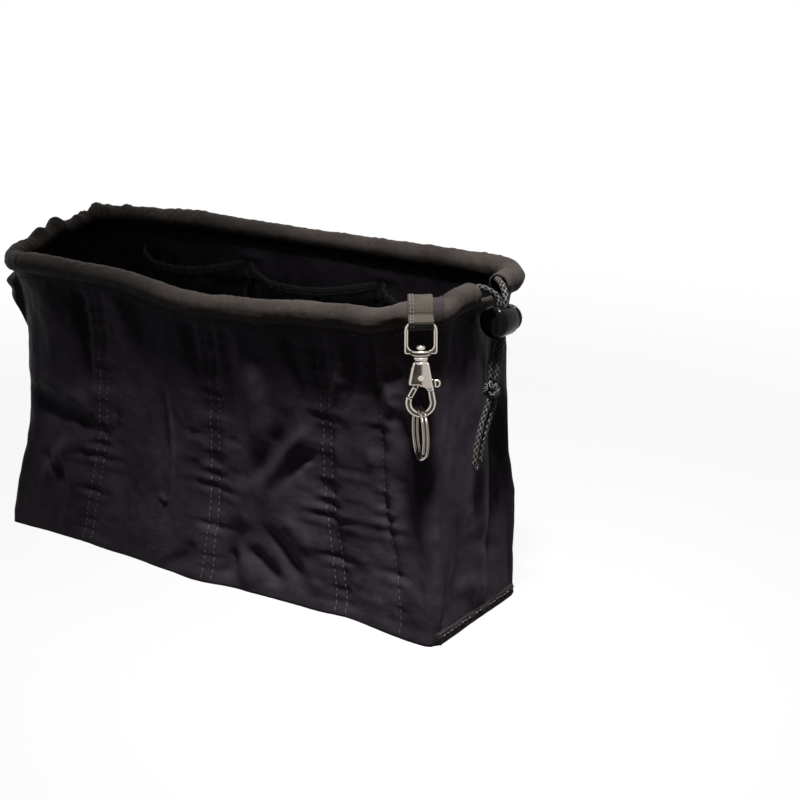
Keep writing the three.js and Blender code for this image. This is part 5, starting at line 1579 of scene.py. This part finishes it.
def rounded_box(left, right, low, high, low_radius, high_radius):
    points = []
    for x, z, radius, start in (
            (right - low_radius, low + low_radius, low_radius, -90),
            (right - high_radius, high - high_radius, high_radius, 0),
            (left + high_radius, high - high_radius, high_radius, 90),
            (left + low_radius, low + low_radius, low_radius, 180)):
        points += arc(x, z, radius, start, start + 90, 10)
    return points


def drop_outline(half_width, top, radius, centre_z):
    """A circle's lower part with straight sides up to a narrow top."""
    reach = math.hypot(half_width, top - centre_z)
    angle = math.degrees(math.atan2(top - centre_z, half_width) - math.acos(radius / reach))
    round_part = arc(0, centre_z, radius, 180 - angle, 360 + angle, 72)
    return round_part + [(half_width, top), (-half_width, top)]


# Sizes of the clip, with heights below the eye's bar
EYE_THICKNESS = 2.2
EYE_OUTSIDE = (-7.3, 7.3, -14.1, 1.1, 1.2, 4.6)
EYE_OPENING = (-5.6, 5.6, -12.2, -1.1, 2.4, 1.8)
EYE_FOOT_STRETCH = 1.5
STUD_BORE = 1.6
HOOK_TOP = -17.7
HOOK_FOOT = -43.4
HOUSING_FOOT = -30.7
RIVET = -24.7
BOW = -36.6
HOUSING_HALF = 3.5
HOUSING_THICKNESS = 4.6
BOW_RADIUS = 6.8
BOW_THICKNESS = 2.8
BOW_OPENING = 4.1
APEX_OPENING = 3.3
APEX_DROP = 7.2
SLOT_HALF = 1.1
SLOT_DROP = 5
SLOT_RISE = 4.2
WINDOW_REACH = 10.9
WINDOW_DROP = 3.2
WINDOW_EDGE = -0.4
RIVET_BORE = 1.05
GATE_BORE = 1.15
GATE_HALF = 0.8
GATE_HUB = 2
GATE_TURN = -118
FAR_OUT = 20
THROUGH = 12
CAST_VOXEL = 0.14
# Turned pieces: (radius, height) rows from axis to axis
EYE_FOOT_ROWS = [(0, -14.8), (2.5, -14.8), (2.95, -14.4), (2.95, -12.6), (2.5, -12.2), (0, -12.2)]
STUD_ROWS = [
    (0, -18.8), (1.3, -18.8), (1.3, -11.95), (1.95, -11.9), (2.1, -11.6), (2.05, -11.0), (1.8, -10.4),
    (1.35, -10.0), (0.7, -9.75), (0, -9.7),
]
NECK_ROWS = [
    (0, -18.4), (3.05, -18.4), (3.2, -17.9), (3.2, -17.4), (2.75, -17.1), (2.7, -16.8), (3.15, -16.5),
    (3.2, -16.1), (3.2, -15.5), (2.9, -15.1), (0, -15.1),
]
RIVET_ROWS = [
    (0, -2.45), (0.7, -2.45), (1.15, -2.3), (1.3, -2.05), (0.88, -1.95), (0.88, 1.95), (1.3, 2.05),
    (1.15, 2.3), (0.7, 2.45), (0, 2.45),
]
BARREL_ROWS = [
    (0, -8.3), (2.5, -8.28), (4.6, -8.1), (6.0, -7.65), (6.9, -7.0), (7.35, -6.3), (7.5, -5.6),
    (7.5, 3.9), (7.42, 4.3), (7.2, 4.6), (6.9, 4.7), (5.75, 4.7), (5.55, 4.6), (5.5, 4.35),
    (5.5, -6.9), (0, -6.9),
]
PLUNGER_ROWS = [
    (0, -3.2), (4.9, -3.2), (5.2, -2.9), (5.2, 7.5), (6.0, 7.5), (6.3, 7.75), (6.3, 8.9), (6.1, 9.35),
    (5.6, 9.62), (4.4, 9.7), (0, 9.5),
]
# The gate's arm and its thicker tip, before they are turned to the closed place
ARM_OUTLINE = [(0, -1.2), (10.4, -1.2), (10.6, 0), (10.4, 1.2), (0, 1.2)]
TIP_OUTLINE = [(5.4, -1.2), (10.3, -1.2), (10.6, -0.4), (10.6, 0.4), (10.3, 1.2), (5.4, 1.2)]
LEVER_NECK = ((0, -0.8, -4.4), (7.4, 0.8, -1.0))
SHOULDER_BOX = (1.7, 3.5, -2.7, 0.9, 0.3, 0.5)
# The lever's thumb pad: its two rounded corners and its two corners at the neck
PAD_LOW_END = (7.2, -3.0)
PAD_HIGH_END = (7.2, -2.4)
PAD_RADIUS = 1.6
PAD_FOOT = (6.2, -4.6)
PAD_TOP = (5.8, -0.8)


def cylinder(radius, low, high, axis="Z"):
    return lathe([(0, low), (radius, low), (radius, high), (0, high)], axis=axis)


def moved(mesh, height):
    mesh.transform(Matrix.Translation((0, 0, height)))
    return mesh


def add_eye():
    frame_plate = plate([rounded_box(*EYE_OUTSIDE), rounded_box(*EYE_OPENING)], EYE_THICKNESS, 0.62)
    foot = lathe(EYE_FOOT_ROWS)
    foot.transform(Matrix.Diagonal((EYE_FOOT_STRETCH, 1, 1, 1)))
    mesh = cast([frame_plate, foot], [cylinder(STUD_BORE, -15.4, -11.6)], 0.13, 5)
    hardware("swivel_eye", mesh, CLIP, NICKEL, "eye", ("clip_eye",))


def add_stud():
    """Stud with a small domed head, as the eye's inside shows it."""
    stud = lathe(STUD_ROWS, 80)
    hardware("stud_with_collar", stud, CLIP, NICKEL, "snap_hook", ("swivel_stud",), 50)


def gate_window():
    """What the gate's tip sweeps on its side of the hook."""
    top = RIVET - WINDOW_DROP
    swept = [p for p in arc(0, RIVET, WINDOW_REACH, 180, 270, 50) if p[1] <= top and p[0] <= WINDOW_EDGE]
    outline_points = [(WINDOW_EDGE, top), (swept[0][0], top), *swept, (WINDOW_EDGE, swept[-1][1])]
    return plate([outline_points], THROUGH, 0)


def add_hook():
    """Cast hook whose housing is slotted for the gate, with a painted reflection that brightens its right
    facet.
    """
    opening = arc(0, BOW, BOW_OPENING, 180, 360, 40) + arc(0, RIVET - APEX_DROP, APEX_OPENING, 0, 180, 30)
    drop = drop_outline(HOUSING_HALF, HOOK_TOP, BOW_RADIUS, BOW)
    wire = plate([drop, opening], BOW_THICKNESS, 0.7)
    below = block((-FAR_OUT, -9, HOOK_FOOT - 9), (FAR_OUT, 9, HOUSING_FOOT))
    housing = cut(plate([drop], HOUSING_THICKNESS, 0.8), [below, plate([opening], THROUGH, 0)])
    slot = block((-FAR_OUT, -SLOT_HALF, RIVET - SLOT_DROP), (FAR_OUT, SLOT_HALF, RIVET + SLOT_RISE))
    cast_hook = cast([wire, housing, lathe(NECK_ROWS)], [slot, gate_window()], CAST_VOXEL, 5)
    bore = moved(cylinder(RIVET_BORE, -9, 9, "Y"), RIVET)
    mesh = cut(cast_hook, [cylinder(STUD_BORE, -19.1, -14.4), bore])
    spots = np.array([v.co for v in mesh.vertices])
    # Painted reflection: the hook's right facet is made bright in the colour.
    facet_reflection = 0.62 * smooth((spots[:, 0] + 0.2) / 1.3) * smooth((spots[:, 2] - RIVET + 6.5) / 3)
    made = hardware("hook_casting", mesh, CLIP, NICKEL, "snap_hook", ("hook_body",), 40)
    layer = made.data.attributes["painted_highlight"].data
    painted_highlight = np.array([point.value for point in layer])
    layer.foreach_set("value", np.maximum(painted_highlight, facet_reflection).astype(np.float32))
    pin = moved(lathe(RIVET_ROWS, 48, "Y"), RIVET)
    hardware("rivet_pin", pin, CLIP, NICKEL, "snap_hook", ("gate_rivet",), 50)


def turned(points, degrees):
    c, s = math.cos(math.radians(degrees)), math.sin(math.radians(degrees))
    return [(x * c - z * s, x * s + z * c) for x, z in points]


def add_gate():
    hub = cylinder(GATE_HUB, -GATE_HALF, GATE_HALF, "Y")
    arm = plate([turned(ARM_OUTLINE, GATE_TURN)], 2 * GATE_HALF, 0.2)
    tip = plate([turned(TIP_OUTLINE, GATE_TURN)], BOW_THICKNESS, 0.5)
    pad_end = arc(*PAD_LOW_END, PAD_RADIUS, -90, 0, 8) + arc(*PAD_HIGH_END, PAD_RADIUS, 0, 90, 8)
    pad = plate([[PAD_FOOT, *pad_end, PAD_TOP]], 3.6, 0.6)
    shoulder = plate([rounded_box(*SHOULDER_BOX)], 2 * GATE_HALF, 0.25)
    rocker = cast([hub, arm, tip, block(*LEVER_NECK), pad, shoulder], [], 0.12, 4)
    mesh = moved(cut(rocker, [cylinder(GATE_BORE, -9, 9, "Y")]), RIVET)
    hardware("gate_rocker", mesh, CLIP, NICKEL, "gate", ("hook_gate",), 40)


def wire_piece(name, line, radius, sides, matrix, surface, body, replaces):
    """Round wire along a line, with painted reflections that make it brighter on two sides."""
    points = tube_points(np.asarray(line), radius, sides)
    flat = points.reshape(-1, 3)
    placed = np.array([tuple(matrix @ Vector(p)) for p in flat]).reshape(points.shape)
    made = closed_grid(name, placed, surface, body, replaces, caps=True)
    # Painted reflection: streaks of light colour on two sides of the wire.
    bright = 0.15 + 0.85 * np.abs(np.cos(round_turn(sides))) ** 3
    point_values(made, "painted_highlight", np.broadcast_to(bright, points.shape[:2]))
    return made


# Springs: coil and wire radius, turns, and the places that they sit between
SPRING_TURNS = 3
GATE_SPRING_RADIUS = 0.62
GATE_SPRING_WIRE = 0.16
GATE_SPRING_PLACE = 2.6
SHOULDER_TOP = 0.9
LOCK_SPRING_RADIUS = 3.4
LOCK_SPRING_WIRE = 0.22
LOCK_END = -8.3
LOCK_WALL = 1.4
PLUNGER_DEPTH = 3.2


def add_springs():
    """Both coils, each fixed at one end."""
    t = np.linspace(0, 1, 150)
    angle = 2 * np.pi * SPRING_TURNS * t
    room = SLOT_RISE - SHOULDER_TOP - 2 * CLEARANCE
    wire = GATE_SPRING_WIRE
    line = np.stack([GATE_SPRING_RADIUS * np.cos(angle) + GATE_SPRING_PLACE,
                     GATE_SPRING_RADIUS * np.sin(angle), t * (room - 2 * wire) + wire], -1)
    line[:, 2] += RIVET + SHOULDER_TOP + CLEARANCE
    coil = wire_piece("gate_spring_coil", line, wire, 10, CLIP, STEEL, "snap_hook",
                      ("gate_spring",))
    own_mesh(coil)
    start = LOCK_END + LOCK_WALL + CLEARANCE
    room = -LOCK_END - LOCK_WALL - PLUNGER_DEPTH - 2 * CLEARANCE
    wire = LOCK_SPRING_WIRE
    line = np.stack([LOCK_SPRING_RADIUS * np.cos(angle), t * (room - 2 * wire) + wire + start,
                     -LOCK_SPRING_RADIUS * np.sin(angle)], -1)
    coil = wire_piece("lock_spring_coil", line, wire, 12, LOCK, STEEL, "cord_lock",
                      ("lock_spring",))
    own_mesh(coil)


RING_RADIUS = 11.85
RING_WIRE = 0.65
RING_GAP = 0.45
RING_END_TURN = 28
RING_WRAP_TURN = 22
RING_CENTRE = -51.25
RING_TURN = 9
RING_ROLL = 150


def add_ring():
    """One wire wound twice, which passes from one turn to the other beside its ends."""
    open_angle = math.radians(RING_END_TURN)
    angle = np.linspace(open_angle, 4 * np.pi - open_angle, 560)
    wrap = smooth((angle - 2 * np.pi) / (2 * math.radians(RING_WRAP_TURN)) + 0.5)
    across = (2 * wrap - 1) * (RING_WIRE + RING_GAP / 2)
    local = np.stack([across, RING_RADIUS * np.sin(angle), RING_RADIUS * np.cos(angle)], -1)
    turn = Matrix.Translation((0, 0, RING_CENTRE)) @ Matrix.Rotation(math.radians(RING_TURN), 4, "Z")
    turn = turn @ Matrix.Rotation(math.radians(RING_ROLL), 4, "X")
    wire_piece("split_ring_wire", local, RING_WIRE, 20, CLIP @ turn, NICKEL, "split_ring",
               ("key_ring",))


# Half width of the cord's way through the lock, and its ends along the barrel and along the plunger
CORD_WAY_HALF = 3.6
BARREL_WAY = (-2.7, 1.8)
PLUNGER_WAY = (-1.8, 4.3)


def add_lock():
    """Barrel and sprung plunger, both cut through for the two strands."""
    parts = [
        ("lock_barrel_shell", BARREL_ROWS, BARREL_WAY, 0.22, "cord_lock", ("lock_barrel",)),
        ("lock_plunger_button", PLUNGER_ROWS, PLUNGER_WAY, 0.2, "plunger", ("lock_plunger",)),
    ]
    for name, rows, way, bevel, body, nodes in parts:
        opening = block((-CORD_WAY_HALF, way[0], -FAR_OUT), (CORD_WAY_HALF, way[1], FAR_OUT))
        settings = {"width": bevel, "segments": 3, "angle_limit": math.radians(50)}
        mesh = with_modifiers(cut(lathe(rows, 128, "Y"), [opening]), [("BEVEL", settings)])
        hardware(name, mesh, LOCK, BLACK, body, nodes, 35)


add_shell()
add_floor_cloth()
add_binding("right_binding", 1, "right_seam_binding")
add_binding("left_binding", 3, "left_seam_binding")
add_casing()
add_mouth_hem()
add_pockets()
add_stitches()
add_tab()
add_band()
add_eye()
add_stud()
add_hook()
add_gate()
add_springs()
add_ring()
add_lock()

bpy.context.scene.view_settings.view_transform = "Standard"
